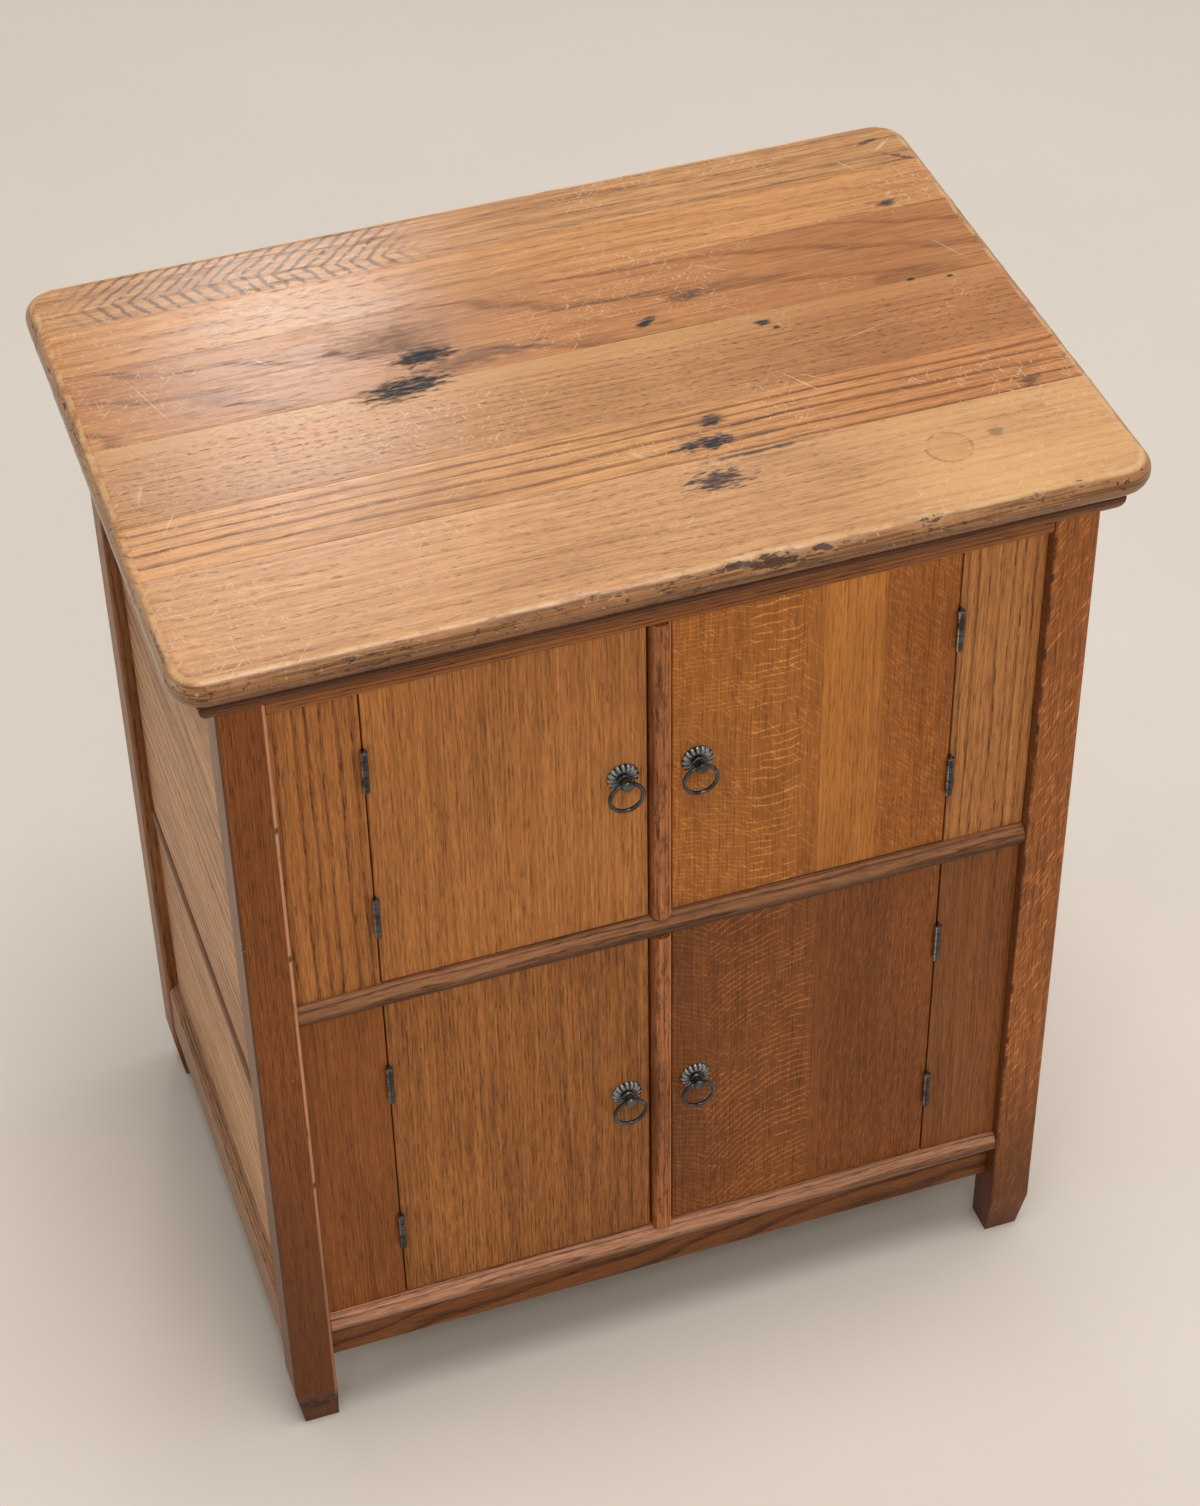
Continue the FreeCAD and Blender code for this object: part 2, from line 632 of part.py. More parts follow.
def knuckle_span(number):
    """Lower and upper end of a knuckle, from the middle of the hinge."""
    pitch = f"Dims.hinge_length / {KNUCKLES}"
    low = f"{pitch} * {number} - Dims.hinge_length / 2"
    high = f"{pitch} * {number + 1} - Dims.hinge_length / 2"
    if number > 0:
        low += " + Dims.knuckle_gap / 2"
    if number < KNUCKLES - 1:
        high += " - Dims.knuckle_gap / 2"
    return low, high


def make_leaf(name, side, numbers):
    """One leaf about its pin: a plate to one side, and every knuckle in numbers."""
    across = ordered(side, "Dims.leaf_gap", "Dims.leaf_gap + Dims.leaf_thick")
    clear = "Dims.hinge_barrel / 2 + Dims.knuckle_gap"
    wall = "(Dims.hinge_pin + Dims.hinge_barrel) / 4"
    depth = (clear, "Dims.hinge_forward + Dims.leaf_width")
    length = ("0 - Dims.hinge_length / 2", "Dims.hinge_length / 2")
    pieces = [block(name + "Plate", across, depth, length)]
    for number in numbers:
        low, high = knuckle_span(number)
        barrel = rod(f"{name}Barrel{number}", "Dims.hinge_barrel", f"({high}) - ({low})")
        bind(barrel, {"Placement.Base.z": low})
        tab = block(f"{name}Tab{number}", across, (wall, clear), (low, high))
        pieces += [barrel, tab]
    solid = doc.addObject("Part::MultiFuse", name + "Solid")
    solid.Shapes = pieces
    solid.Refine = True
    hole = rod(name + "Hole", "Dims.hinge_pin + 2 * Dims.pin_fit", "Dims.hinge_length + 2 * Dims.overrun")
    bind(hole, {"Placement.Base.z": "0 - Dims.hinge_length / 2 - Dims.overrun"})
    leaf = doc.addObject("Part::Cut", name)
    leaf.Base = solid
    leaf.Tool = hole
    return leaf


def set_at_hinge(source, door, level, name):
    """A copy of a hinge piece at one hinge of a door, turned over for the right-hand doors."""
    copy = doc.addObject("App::Link", name)
    copy.LinkedObject = source
    if door["side"] > 0:
        copy.Placement.Rotation = FreeCAD.Rotation(V(0, 1, 0), 180)
    rules = {"x": f"{door['side']} * Places.hinge_x", "y": "Places.hinge_y", "z": level}
    bind(copy, {f"Placement.Base.{axis}": rule for axis, rule in rules.items()})
    return copy


def make_hinges():
    fixed = make_leaf("FixedLeaf", -1, range(0, KNUCKLES, 2))
    moving = make_leaf("MovingLeaf", 1, range(1, KNUCKLES, 2))
    pin = rod("HingePin", "Dims.hinge_pin", "Dims.hinge_length + 2 * Dims.pin_head")
    half_pin = "(Dims.hinge_length / 2 + Dims.pin_head)"
    groups = {"hinge_fixed_leaves": [], "hinge_pins": []}
    for door in DOORS:
        leaves = []
        for number, level in enumerate(hinge_levels(door), 1):
            tag = f"{door['name'].title().replace('_', '')}{number}"
            groups["hinge_fixed_leaves"].append(set_at_hinge(fixed, door, level, "FixedLeaf" + tag))
            # a pin is set by its end, which is the upper one where it is turned over
            end = f"{level} + {door['side']} * {half_pin}"
            groups["hinge_pins"].append(set_at_hinge(pin, door, end, "Pin" + tag))
            leaves.append(set_at_hinge(moving, door, level, "MovingLeaf" + tag))
        groups[f"hinge_door_leaves_{door['name']}"] = leaves
    for label, links in groups.items():
        keep(group_of(label.title().replace("_", ""), links), label)


# Pulls: a fluted rosette, a boss on a shank through the door, and a ring that swings in the boss


def set_on_door(body, door):
    """Stands a turned piece on a door's face, its Z axis towards the front."""
    across, level = pull_place(door)
    body.Placement.Rotation = FreeCAD.Rotation(V(1, 0, 0), 90)
    rules = {"x": across, "y": "Places.door_y", "z": level}
    bind(body, {f"Placement.Base.{axis}": rule for axis, rule in rules.items()})


def make_rosette(door, tag):
    """A domed disc whose flutes are lofted from a narrow start to a wide mouth at the rim."""
    body = body_for("Rosette" + tag)
    hole = "(Dims.shank_diameter / 2 + Dims.shank_fit)"
    shoulder = "(Dims.collar_diameter / 2)"
    outline = [
        (hole, "0"),
        ("Dims.rosette_diameter / 2", "0"),
        ("Dims.rosette_diameter / 2", "Dims.rosette_rim", DOME_SHARE),
        (shoulder, "Dims.rosette_rise"),
        (hole, "Dims.rosette_rise"),
    ]
    turn(body, outline)
    start = "Dims.flute_start"
    mouth = "(Dims.rosette_diameter / 2 + Dims.overrun)"
    narrow = "(Dims.flute_width * Dims.flute_start / Dims.rosette_diameter)"
    slope = "(Dims.rosette_rise - Dims.rosette_rim) / (Dims.rosette_diameter / 2 - Dims.collar_diameter / 2)"
    floor_in = "(Dims.rosette_rise - Dims.flute_lead)"
    floor_out = f"(Dims.rosette_rim - Dims.flute_depth - Dims.overrun * {slope})"
    lip = "(Dims.rosette_rise + Dims.overrun)"
    sections = []
    for distance, half, bottom in ((start, narrow, floor_in), (mouth, "Dims.flute_width / 2", floor_out)):
        sketch = sketch_in(body, "YZ_Plane", distance)
        spread = f"({half} * ({lip} - {bottom}) / Dims.flute_depth)"
        draw(sketch, [("0", bottom), (spread, lip), (f"0 - {spread}", lip)])
        sections.append(sketch)
    loft = body.newObject("PartDesign::SubtractiveLoft", "Flute" + tag)
    loft.Profile = sections[0]
    loft.Sections = [sections[1]]
    loft.Ruled = True
    doc.recompute()
    fluting = body.newObject("PartDesign::PolarPattern", "Fluting" + tag)
    fluting.Originals = [loft]
    fluting.Axis = ([item for item in body.Origin.OriginFeatures if item.Role == "Z_Axis"][0], [""])
    fluting.Angle = 360
    fluting.Occurrences = FLUTES
    body.Tip = fluting
    set_on_door(body, door)
    keep(body, f"pull_rosette_{door['name']}")


def make_boss(door, tag):
    """Shank, collar and barrel in one turning, with an eye flared to the curve of the ring."""
    body = body_for("Boss" + tag)
    shank = "Dims.shank_diameter / 2"
    tail = "0 - Dims.door_thick - Dims.shank_spare"
    seat = "Dims.rosette_rise"
    collar = "Dims.rosette_rise + Dims.collar_thick"
    neck = "(Dims.collar_diameter - Dims.boss_neck) / 4"
    barrel = "Dims.boss_diameter / 2"
    outline = [
        ("0", tail),
        (shank, tail),
        (shank, seat),
        ("Dims.collar_diameter / 2", seat, COLLAR_SHARE),
        ("Dims.boss_neck / 2", collar),
        (barrel, f"{collar} + {neck}"),
        (barrel, "Dims.boss_length - Dims.boss_nose", QUARTER_SHARE),
        (f"{barrel} - Dims.boss_nose", "Dims.boss_length"),
        ("0", "Dims.boss_length"),
    ]
    turn(body, outline)
    sketch = sketch_in(body, "XZ_Plane", "0", "Dims.pivot_forward")
    reach = f"({barrel} + Dims.ring_fit)"
    flare = "(Dims.ring_radius - Dims.ring_wire / 2 - Dims.ring_fit)"
    mouth = f"(Dims.ring_radius - sqrt({flare} ^ 2 - {reach} ^ 2))"
    land = "(Dims.eye_land / 2)"
    throat = f"(Dims.ring_radius - sqrt({flare} ^ 2 - {land} ^ 2))"
    chord = f"sqrt(({reach} - {land}) ^ 2 + ({mouth} - {throat}) ^ 2)"
    dip = f"0 - ({flare} - sqrt({flare} ^ 2 - {chord} ^ 2 / 4)) / {chord}"
    eye = [
        (f"0 - {reach}", "0"),
        (reach, "0"),
        (reach, mouth, dip),
        (land, throat),
        (f"0 - {land}", throat, dip),
        (f"0 - {reach}", mouth),
    ]
    before = body.Shape.Volume
    groove = body.newObject("PartDesign::Groove", "Eye" + tag)
    groove.Profile = draw(sketch, eye)
    groove.ReferenceAxis = (sketch, ["H_Axis"])
    groove.Angle = 360
    doc.recompute()
    if not body.Shape.Volume < before:
        raise ValueError("the eye of a boss takes nothing away")
    set_on_door(body, door)
    keep(body, f"pull_boss_{door['name']}")


def make_ring(door, tag):
    ring = doc.addObject("Part::Torus", "Ring" + tag)
    bind(ring, {"Radius1": "Dims.ring_radius", "Radius2": "Dims.ring_wire / 2"})
    ring.Placement.Rotation = FreeCAD.Rotation(V(1, 0, 0), 90)
    across, level = pull_place(door)
    rules = {"x": across, "y": "Places.door_y - Dims.pivot_forward", "z": f"{level} - Dims.ring_radius"}
    bind(ring, {f"Placement.Base.{axis}": rule for axis, rule in rules.items()})
    keep(ring, f"pull_ring_{door['name']}")


def make_catch(door, tag):
    """A barrel let into the door's closing edge, with a ball that stands a little proud."""
    body = body_for("Catch" + tag)
    radius = "Dims.catch_diameter / 2"
    ball = "(Dims.catch_ball / 2)"
    mouth = f"sqrt({ball} ^ 2 - ({ball} - Dims.catch_proud) ^ 2)"
    chord = f"sqrt(2 * {ball} * Dims.catch_proud)"
    swell = f"({ball} - sqrt({ball} ^ 2 - {chord} ^ 2 / 4)) / {chord}"
    outline = [
        ("0", "0 - Dims.catch_length"),
        (radius, "0 - Dims.catch_length"),
        (radius, "0"),
        (mouth, "0", swell),
        ("0", "Dims.catch_proud"),
    ]
    turn(body, outline)
    side = door["side"]
    body.Placement.Rotation = FreeCAD.Rotation(V(0, 1, 0), -90 * side)
    level = level_in(door, CATCH_SHARE)
    rules = {"x": CLOSING[side], "y": "Places.door_y + Dims.door_thick / 2", "z": level}
    bind(body, {f"Placement.Base.{axis}": rule for axis, rule in rules.items()})
    keep(body, f"ball_catch_{door['name']}")


# Sides: moulded low rail, half-round middle rail, plain upper rail, and two panels


def make_sides():
    span = ("Places.post_back_y", "Places.back_post_y")
    low = body_for("SideLowRail")
    section = [
        ("0 - Places.rail_x", "Dims.apron_level"),
        ("0 - Places.rail_in_x", "Dims.apron_level"),
        ("0 - Places.rail_in_x", "Places.side_low_in"),
        ("0 - Places.panel_x", "Places.side_low_in"),
        ("0 - Places.rail_x", "Dims.side_low_top"),
    ]
    pad(low, "XZ_Plane", section, *span)
    middle = body_for("SideMidRail")
    section = [
        ("0 - Places.panel_x", "Places.side_mid_high", "Dims.side_bead_rise / Dims.side_bead"),
        ("0 - Places.panel_x", "Places.side_mid_low"),
        ("0 - Places.rail_in_x", "Places.side_mid_low"),
        ("0 - Places.rail_in_x", "Places.side_mid_high"),
    ]
    pad(middle, "XZ_Plane", section, *span)
    across = ("0 - Places.rail_x", "0 - Places.rail_in_x")
    upper = block("SideTopRail", across, span, ("Places.side_top_low", "Places.frame_low"))
    rails = keep(group_of("SideRailsLeft", [low, middle, upper]), "side_rails_left")
    keep(mirrored(rails, "SideRailsRight", V(1, 0, 0), {}), "side_rails_right")
    across = ("0 - Places.panel_x", "0 - Places.panel_in_x")
    levels = (("Places.side_low_in", "Places.side_mid_low"), ("Places.side_mid_high", "Places.side_top_low"))
    fields = [block(f"SidePanel{number}", across, span, level) for number, level in enumerate(levels, 1)]
    panels = keep(group_of("SidePanelsLeft", fields), "side_panels_left")
    keep(mirrored(panels, "SidePanelsRight", V(1, 0, 0), {}), "side_panels_right")


# Back: two rails with upright boards between them


def make_back():
    across = ("0 - Places.inner_x", "Places.inner_x")
    depth = ("Places.board_in_y", "Places.back_rail_y")
    levels = (("Dims.apron_level", "Dims.side_low_top"), ("Places.side_top_low", "Places.frame_low"))
    rails = [block(f"BackRail{number}", across, depth, level) for number, level in enumerate(levels, 1)]
    keep(group_of("BackRails", rails), "back_rails")
    pitch = f"2 * Places.inner_x / {BACK_BOARDS}"
    boards = []
    for number in range(BACK_BOARDS):
        low = f"{pitch} * {number} - Places.inner_x + Dims.back_joint / 2"
        high = f"{pitch} * {number + 1} - Places.inner_x - Dims.back_joint / 2"
        span = ("Dims.side_low_top", "Places.side_top_low")
        depth = ("Places.board_in_y", "Places.board_y")
        boards.append(block(f"BackBoard{number + 1}", (low, high), depth, span))
    keep(group_of("BackBoards", boards), "back_boards")


# Inside: floor and shelf cut round the posts, cleats that carry them, glue blocks under the top


def board_outline(wide):
    """Half of a shelf's outline on each side: notched at the posts, wide between them."""
    right = [
        ("Places.inner_x", "Places.stop_y"),
        ("Places.inner_x", "Places.post_back_y"),
        (wide, "Places.post_back_y"),
        (wide, "Places.back_post_y"),
        ("Places.inner_x", "Places.back_post_y"),
        ("Places.inner_x", "Places.board_in_y"),
    ]
    left = [(f"0 - {across}", up) for across, up in reversed(right)]
    return right + left


def make_inside():
    floor = body_for("CabinetFloor")
    pad(floor, "XY_Plane", board_outline("Places.rail_in_x"), "Places.floor_low", "Places.floor_top")
    keep(floor, "cabinet_floor")
    shelf = body_for("MiddleShelf")
    pad(shelf, "XY_Plane", board_outline("Places.panel_in_x"), "Places.shelf_low", "Places.shelf_top")
    across = ("Places.stile_left - Dims.notch_gap", "Places.stile_right + Dims.notch_gap")
    depth = ("Places.stop_y - Dims.overrun", "Places.stile_back_y + Dims.notch_gap")
    span = ("Places.shelf_low - Dims.overrun", "Places.shelf_top + Dims.overrun")
    pocket(shelf, "XY_Plane", rectangle(across, depth), *span)
    keep(shelf, "middle_shelf")
    cleats = []
    for side, way in (("Left", -1), ("Right", 1)):
        low = block(
            f"FloorCleat{side}",
            ordered(way, "Places.rail_in_x - Dims.cleat_size", "Places.rail_in_x"),
            ("Places.post_back_y", "Places.back_post_y"),
            ("Places.floor_low - Dims.cleat_size", "Places.floor_low"),
        )
        high = block(
            f"ShelfCleat{side}",
            ordered(way, "Places.inner_x - Dims.cleat_size", "Places.inner_x"),
            ("Places.stop_y", "Places.board_in_y"),
            ("Places.shelf_low - Dims.cleat_size", "Places.shelf_low"),
        )
        cleats += [low, high]
    keep(group_of("Cleats", cleats), "cleats")
    blocks = []
    rows = (
        ("Front", "Places.post_back_y", "Places.post_back_y + Dims.cleat_size"),
        ("Back", "Places.back_post_y - Dims.cleat_size", "Places.back_post_y"),
    )
    for row, near, far in rows:
        for number, share in enumerate(BLOCK_SHARES, 1):
            middle = f"2 * Places.inner_x * {share}"
            across = (f"{middle} - Dims.block_length / 2", f"{middle} + Dims.block_length / 2")
            span = ("Places.top_low - Dims.cleat_size", "Places.top_low")
            blocks.append(block(f"GlueBlock{row}{number}", across, (near, far), span))
    keep(group_of("GlueBlocks", blocks), "glue_blocks")


# The whole cupboard

make_top()
make_top_frame()
make_posts()
make_front_frame()
for each in DOORS:
    make_panel(each)
    make_door(each)
make_hinges()
for each in DOORS:
    tag_of_door = each["name"].title().replace("_", "")
    make_rosette(each, tag_of_door)
    make_boss(each, tag_of_door)
    make_ring(each, tag_of_door)
    make_catch(each, tag_of_door)
make_sides()
make_back()
make_inside()
doc.recompute()

# Every object is sound before any file is written

for item in doc.Objects:
    if "Invalid" in item.State or "Error" in item.State:
        raise ValueError(f"{item.Name} failed: {item.State}")
for item in parts:
    if item.Shape.isNull() or not item.Shape.isValid() or not item.Shape.Solids:
        raise ValueError(f"{item.Label} has no sound solid")
os.makedirs("parts", exist_ok=True)
for item in parts:
    item.Shape.exportStep(f"parts/{item.Label}.step")
print(len(parts), "sub-parts,", sum(len(item.Shape.Solids) for item in parts), "solids")
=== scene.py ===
import json
import math

import bmesh
import bpy
from mathutils import Matrix, Vector, noise

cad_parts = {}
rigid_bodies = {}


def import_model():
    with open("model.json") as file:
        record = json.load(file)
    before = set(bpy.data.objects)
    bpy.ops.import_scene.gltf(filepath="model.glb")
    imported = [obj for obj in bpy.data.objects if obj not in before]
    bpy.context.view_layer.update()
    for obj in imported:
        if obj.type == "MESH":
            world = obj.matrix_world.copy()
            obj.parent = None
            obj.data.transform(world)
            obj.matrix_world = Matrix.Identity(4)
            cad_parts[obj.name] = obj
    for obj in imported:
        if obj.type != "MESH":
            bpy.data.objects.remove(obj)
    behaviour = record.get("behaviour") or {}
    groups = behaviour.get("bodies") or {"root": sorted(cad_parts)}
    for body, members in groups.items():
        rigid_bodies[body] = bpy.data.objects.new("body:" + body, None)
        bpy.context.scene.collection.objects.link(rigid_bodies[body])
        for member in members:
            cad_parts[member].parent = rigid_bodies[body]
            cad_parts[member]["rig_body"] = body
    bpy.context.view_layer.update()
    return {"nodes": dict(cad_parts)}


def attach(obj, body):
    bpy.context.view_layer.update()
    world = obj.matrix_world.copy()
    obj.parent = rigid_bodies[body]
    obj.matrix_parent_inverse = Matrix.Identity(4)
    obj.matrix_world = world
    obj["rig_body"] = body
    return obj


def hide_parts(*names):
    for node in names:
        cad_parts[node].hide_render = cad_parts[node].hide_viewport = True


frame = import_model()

# The imported model's nodes, before anything is dressed
NODES = frame["nodes"]

# Places on the cupboard are written in millimetres, and MM turns them into metres
MM = 0.001
DOORS = ("upper_left", "upper_right", "lower_left", "lower_right")
DOOR_FACE = -213.0
DOOR_BACK = -195.0
HINGE_AXIS = 229.49
HINGE_LEVELS = {"upper": (566.0, 712.5), "lower": (209.5, 384.4)}
HINGE_HALF = 19.0
KNUCKLE = 7.6
PULL_ACROSS = {"left": -35.5, "right": 22.9}
PULL_LEVEL = {"upper": 644.94, "lower": 299.99}
TOP_FACE = 854.0
TOP_UNDERSIDE = 830.0
# The top's back edge, the seams between its boards and its front edge
TOP_SEAMS = (252.0, 186.5, 126.0, 29.2, -65.5, -129.5, -252.0)


# Finishes


class Finish:
    """One finish: its nodes, laid one after another on the frame's coordinates."""

    def __init__(self, name, specular, metallic=0.0, coat=0.0, coat_rough=0.25):
        self.material = bpy.data.materials.new(name)
        self.material.use_nodes = True
        self.tree = self.material.node_tree
        self.shader = self.tree.nodes["Principled BSDF"]
        for socket, value in (
            ("Metallic", metallic),
            ("Specular IOR Level", specular),
            ("Coat Weight", coat),
            ("Coat Roughness", coat_rough),
        ):
            self.shader.inputs[socket].default_value = value
        self.place = self.add("TexCoord").outputs["Object"]
        axes = self.add("SeparateXYZ", {0: self.place}).outputs
        self.axis = {"X": axes[0], "Y": axes[1], "Z": axes[2]}
        self.colour = self.rough = self.height = self.lift = None

    def add(self, kind, inputs=None, **settings):
        made = self.tree.nodes.new("ShaderNode" + kind)
        for key, value in settings.items():
            setattr(made, key, value)
        for key, value in (inputs or {}).items():
            self.join(made.inputs[key], value)
        return made

    def join(self, socket, value):
        if isinstance(value, bpy.types.NodeSocket):
            self.tree.links.new(value, socket)
        else:
            socket.default_value = value

    def maths(self, operation, first, second=0.0, clamp=False):
        inputs = {0: first, 1: second}
        return self.add("Math", inputs, operation=operation, use_clamp=clamp).outputs[0]

    def times(self, *values):
        """The product of numbers or masks."""
        made = values[0]
        for value in values[1:]:
            made = self.maths("MULTIPLY", made, value)
        return made

    def plus(self, *values, clamp=False):
        """The sum of two or more numbers, held between 0 and 1 if it is clamped."""
        made = values[0]
        for value in values[1:-1]:
            made = self.maths("ADD", made, value)
        return self.maths("ADD", made, values[-1], clamp)

    def scaled(self, value, factor, middle=0.5):
        """The value's distance from its middle, times a factor."""
        return self.times(self.maths("SUBTRACT", value, middle), factor)

    def saw(self, value, pitch, shift=0.0):
        """How far a value is through each pitch in millimetres, from 0 to 1."""
        return self.maths("FRACT", self.plus(self.maths("DIVIDE", value, pitch * MM), shift))

    def step(self, value, low, high):
        """0 up to low, 1 from high, smooth between."""
        ends = {0: value, 1: low, 2: high, 3: 0.0, 4: 1.0}
        return self.add("MapRange", ends, interpolation_type="SMOOTHSTEP").outputs[0]

    def ramp(self, axis, low, high):
        """0 up to one plane, 1 from another, in millimetres."""
        return self.step(self.axis[axis], low * MM, high * MM)

    def band(self, axis, low, high, soft):
        """1 between two planes in millimetres, soft at both."""
        rise = self.ramp(axis, low - soft, low + soft)
        return self.times(rise, self.ramp(axis, high + soft, high - soft))

    def mix(self, share, under, over, blend="MIX"):
        inputs = {0: share, 6: under, 7: over}
        return self.add("Mix", inputs, data_type="RGBA", blend_type=blend).outputs[2]

    def paint(self, tone, *masks, blend="MIX"):
        """Lays a colour on, as far as all the masks let it."""
        self.colour = self.mix(self.times(*masks), self.colour, (*tone, 1.0), blend)

    def tint(self, factors, *masks):
        """Multiplies the colour, as far as all the masks let it."""
        self.paint(factors, *masks, blend="MULTIPLY")

    def shifted(self, place, by):
        return self.add("VectorMath", {0: place, 1: by}, operation="ADD").outputs[0]

    def stretch(self, place, factors):
        return self.add("VectorMath", {0: place, 1: factors}, operation="MULTIPLY").outputs[0]

    def turned(self, place, angle):
        inputs = {"Vector": place, "Angle": math.radians(angle)}
        return self.add("VectorRotate", inputs, rotation_type="Z_AXIS").outputs[0]

    def noise(self, place, pitch, detail=2.0, rough=0.5):
        """Uneven cloud, with one pitch or with one for each axis."""
        factors = pitch if isinstance(pitch, tuple) else (pitch, pitch, pitch)
        inputs = {"Vector": self.stretch(place, factors), "Scale": 1.0, "Detail": detail, "Roughness": rough}
        return self.add("TexNoise", inputs).outputs[0]

    def patches(self, low, high, pitch, detail=2.0, rough=0.5, place=None):
        """1 where such a cloud is past its limits."""
        place = self.place if place is None else place
        return self.step(self.noise(place, pitch, detail, rough), low, high)

    def spot(self, centre, radii, angle, ragged, pitch, soft):
        """A ragged oval on the top, in millimetres, 1 inside it."""
        place = self.shifted(self.place, (-centre[0] * MM, -centre[1] * MM, 0.0))
        place = self.turned(place, -angle)
        local = self.stretch(place, (1 / (radii[0] * MM), 1 / (radii[1] * MM), 0.0))
        reach = self.add("VectorMath", {0: local}, operation="LENGTH").outputs["Value"]
        rag = self.noise(self.place, (pitch, pitch * 3, pitch), 3.0, 0.6)
        return self.step(self.plus(reach, self.scaled(rag, ragged * 2)), 1.0, 1.0 - soft)

    def attribute(self, name):
        return self.add("Attribute", attribute_name=name).outputs["Fac"]

    def close(self):
        self.join(self.shader.inputs["Base Color"], self.colour)
        self.join(self.shader.inputs["Roughness"], self.rough)
        if self.height is not None:
            bump = self.add("Bump", {"Strength": 0.8, "Distance": self.lift, "Height": self.height})
            self.join(self.shader.inputs["Normal"], bump.outputs[0])
        return self.material


def shaded(tone, factors):
    return tuple(part * factor for part, factor in zip(tone, factors))


def oak(
    name, along, depth, tone, seed, spacing=3.0, centre=0.0, under=60.0, tilt=0.0, wander=6.0, line=0.45,
    rings=0.4, pores=0.6, fibre=1.35, blotch=0.5, rough=0.40, specular=0.17, lift=0.08, cell=(52.0, 640.0),
):
    """Oak with its rings, pores and fibres: along is the grain's axis, depth the face's.

    The rings lie about a heart that is off to one side by centre and under the face, in millimetres.
    """
    wood = Finish(name, specular)
    wood.lift = lift * MM
    across = next(axis for axis in "XYZ" if axis not in (along, depth))
    ordered = {0: wood.axis[along], 1: wood.axis[across], 2: wood.axis[depth]}
    wood.grain = grain = wood.shifted(wood.add("CombineXYZ", ordered).outputs[0], seed)
    drift = wood.scaled(wood.noise(grain, (2.6, 9.0, 9.0)), wander * 2 * MM)
    sway = wood.scaled(wood.noise(wood.shifted(grain, (3.1, 1.7, 0.4)), (6.0, 14.0, 14.0)), wander * MM)
    side = wood.plus(wood.axis[across], -centre * MM, drift)
    rise = wood.plus(wood.times(wood.axis[along], tilt), under * MM, wood.axis[depth], sway)
    reach = wood.maths("SQRT", wood.plus(wood.times(side, side), wood.times(rise, rise)))
    uneven = wood.scaled(wood.noise(grain, (0.8, 40.0, 40.0), 1.0), 1.2)
    turn = wood.saw(reach, spacing, uneven)
    wood.early = early = wood.maths("MAXIMUM", wood.step(turn, line, 0.0), wood.step(turn, 0.9, 1.0))
    open_grain = wood.plus(wood.times(early, 0.6), 0.4)
    holes = wood.times(wood.patches(0.53, 0.64, (cell[0], cell[1], cell[1]), 2.0, 0.6, grain), open_grain)
    long_fibre = wood.noise(grain, (6.0, 260.0, 260.0), 4.0, 0.65)
    wood.fibre = short_fibre = wood.noise(grain, (44.0, 620.0, 620.0), 3.0, 0.65)
    wood.cloud = cloud = wood.noise(grain, (3.0, 8.0, 8.0), 3.0, 0.55)
    shade = wood.plus(
        wood.scaled(long_fibre, fibre),
        wood.scaled(short_fibre, fibre),
        wood.scaled(cloud, blotch * 1.6),
        wood.scaled(early, -rings, 0.3),
        0.5,
        clamp=True,
    )
    dark, light = shaded(tone, (0.52, 0.46, 0.42)), shaded(tone, (1.42, 1.48, 1.52))
    wood.colour = wood.mix(shade, (*dark, 1.0), (*light, 1.0))
    wood.paint(shaded(tone, (0.22, 0.22, 0.22)), holes, pores)
    dull = wood.plus(wood.scaled(short_fibre, 0.16), wood.times(holes, 0.16), wood.scaled(cloud, 0.16))
    wood.rough = wood.plus(dull, rough, clamp=True)
    low = wood.plus(holes, wood.times(early, 0.2 * rings))
    wood.height = wood.maths("SUBTRACT", wood.times(short_fibre, 0.6), low)
    return wood


def rays(wood, zone, lean, pitch, thick, share, arch=0.0, pale=(1.75, 1.95, 2.35)):
    """Thin wavy rays one under another between two places across, leaning or arched."""
    wave = wood.scaled(wood.noise(wood.grain, (30.0, 42.0, 30.0)), 11 * MM)
    broad = wood.scaled(wood.noise(wood.shifted(wood.grain, (0.3, 0.9, 0.0)), 7.0, 1.0), 40 * MM)
    off = wood.plus(wood.axis["X"], -zone[1] * MM)
    slope = wood.times(off, math.tan(math.radians(lean)))
    turn = wood.saw(wood.plus(wood.axis["Z"], slope, wood.times(off, off, arch), wave, broad), pitch)
    line = wood.times(wood.step(turn, 0.0, 0.08), wood.step(turn, thick + 0.12, thick))
    broken = wood.patches(0.41, 0.50, (150.0, 36.0, 36.0), place=wood.shifted(wood.grain, (0.1, 0.6, 0.0)))
    found = wood.patches(0.30, 0.50, 14.0, place=wood.shifted(wood.grain, (0.5, 0.2, 0.0)))
    wood.tint(pale, line, broken, found, wood.band("X", *zone), share)


def strokes(wood, angle, share, size, limits, where=1.0, seed=(0.0, 0.0, 0.0), pale=(1.8, 2.0, 2.4)):
    """Short straight strokes across the grain, pale or dark."""
    parts = wood.add("SeparateXYZ", {0: wood.shifted(wood.grain, seed)}).outputs
    level = wood.add("CombineXYZ", {0: parts[1], 1: parts[0], 2: parts[2]}).outputs[0]
    stroke = wood.patches(*limits, (size[0], size[1], size[0]), 1.0, place=wood.turned(level, -angle))
    wood.tint(pale, stroke, where, share)


def worn_edges(wood, tone, share):
    """Bare and rubbed arrises, read from the softened edges."""
    wood.paint(tone, wood.attribute("wear"), wood.patches(0.36, 0.62, 46.0, 4.0, 0.7), share)


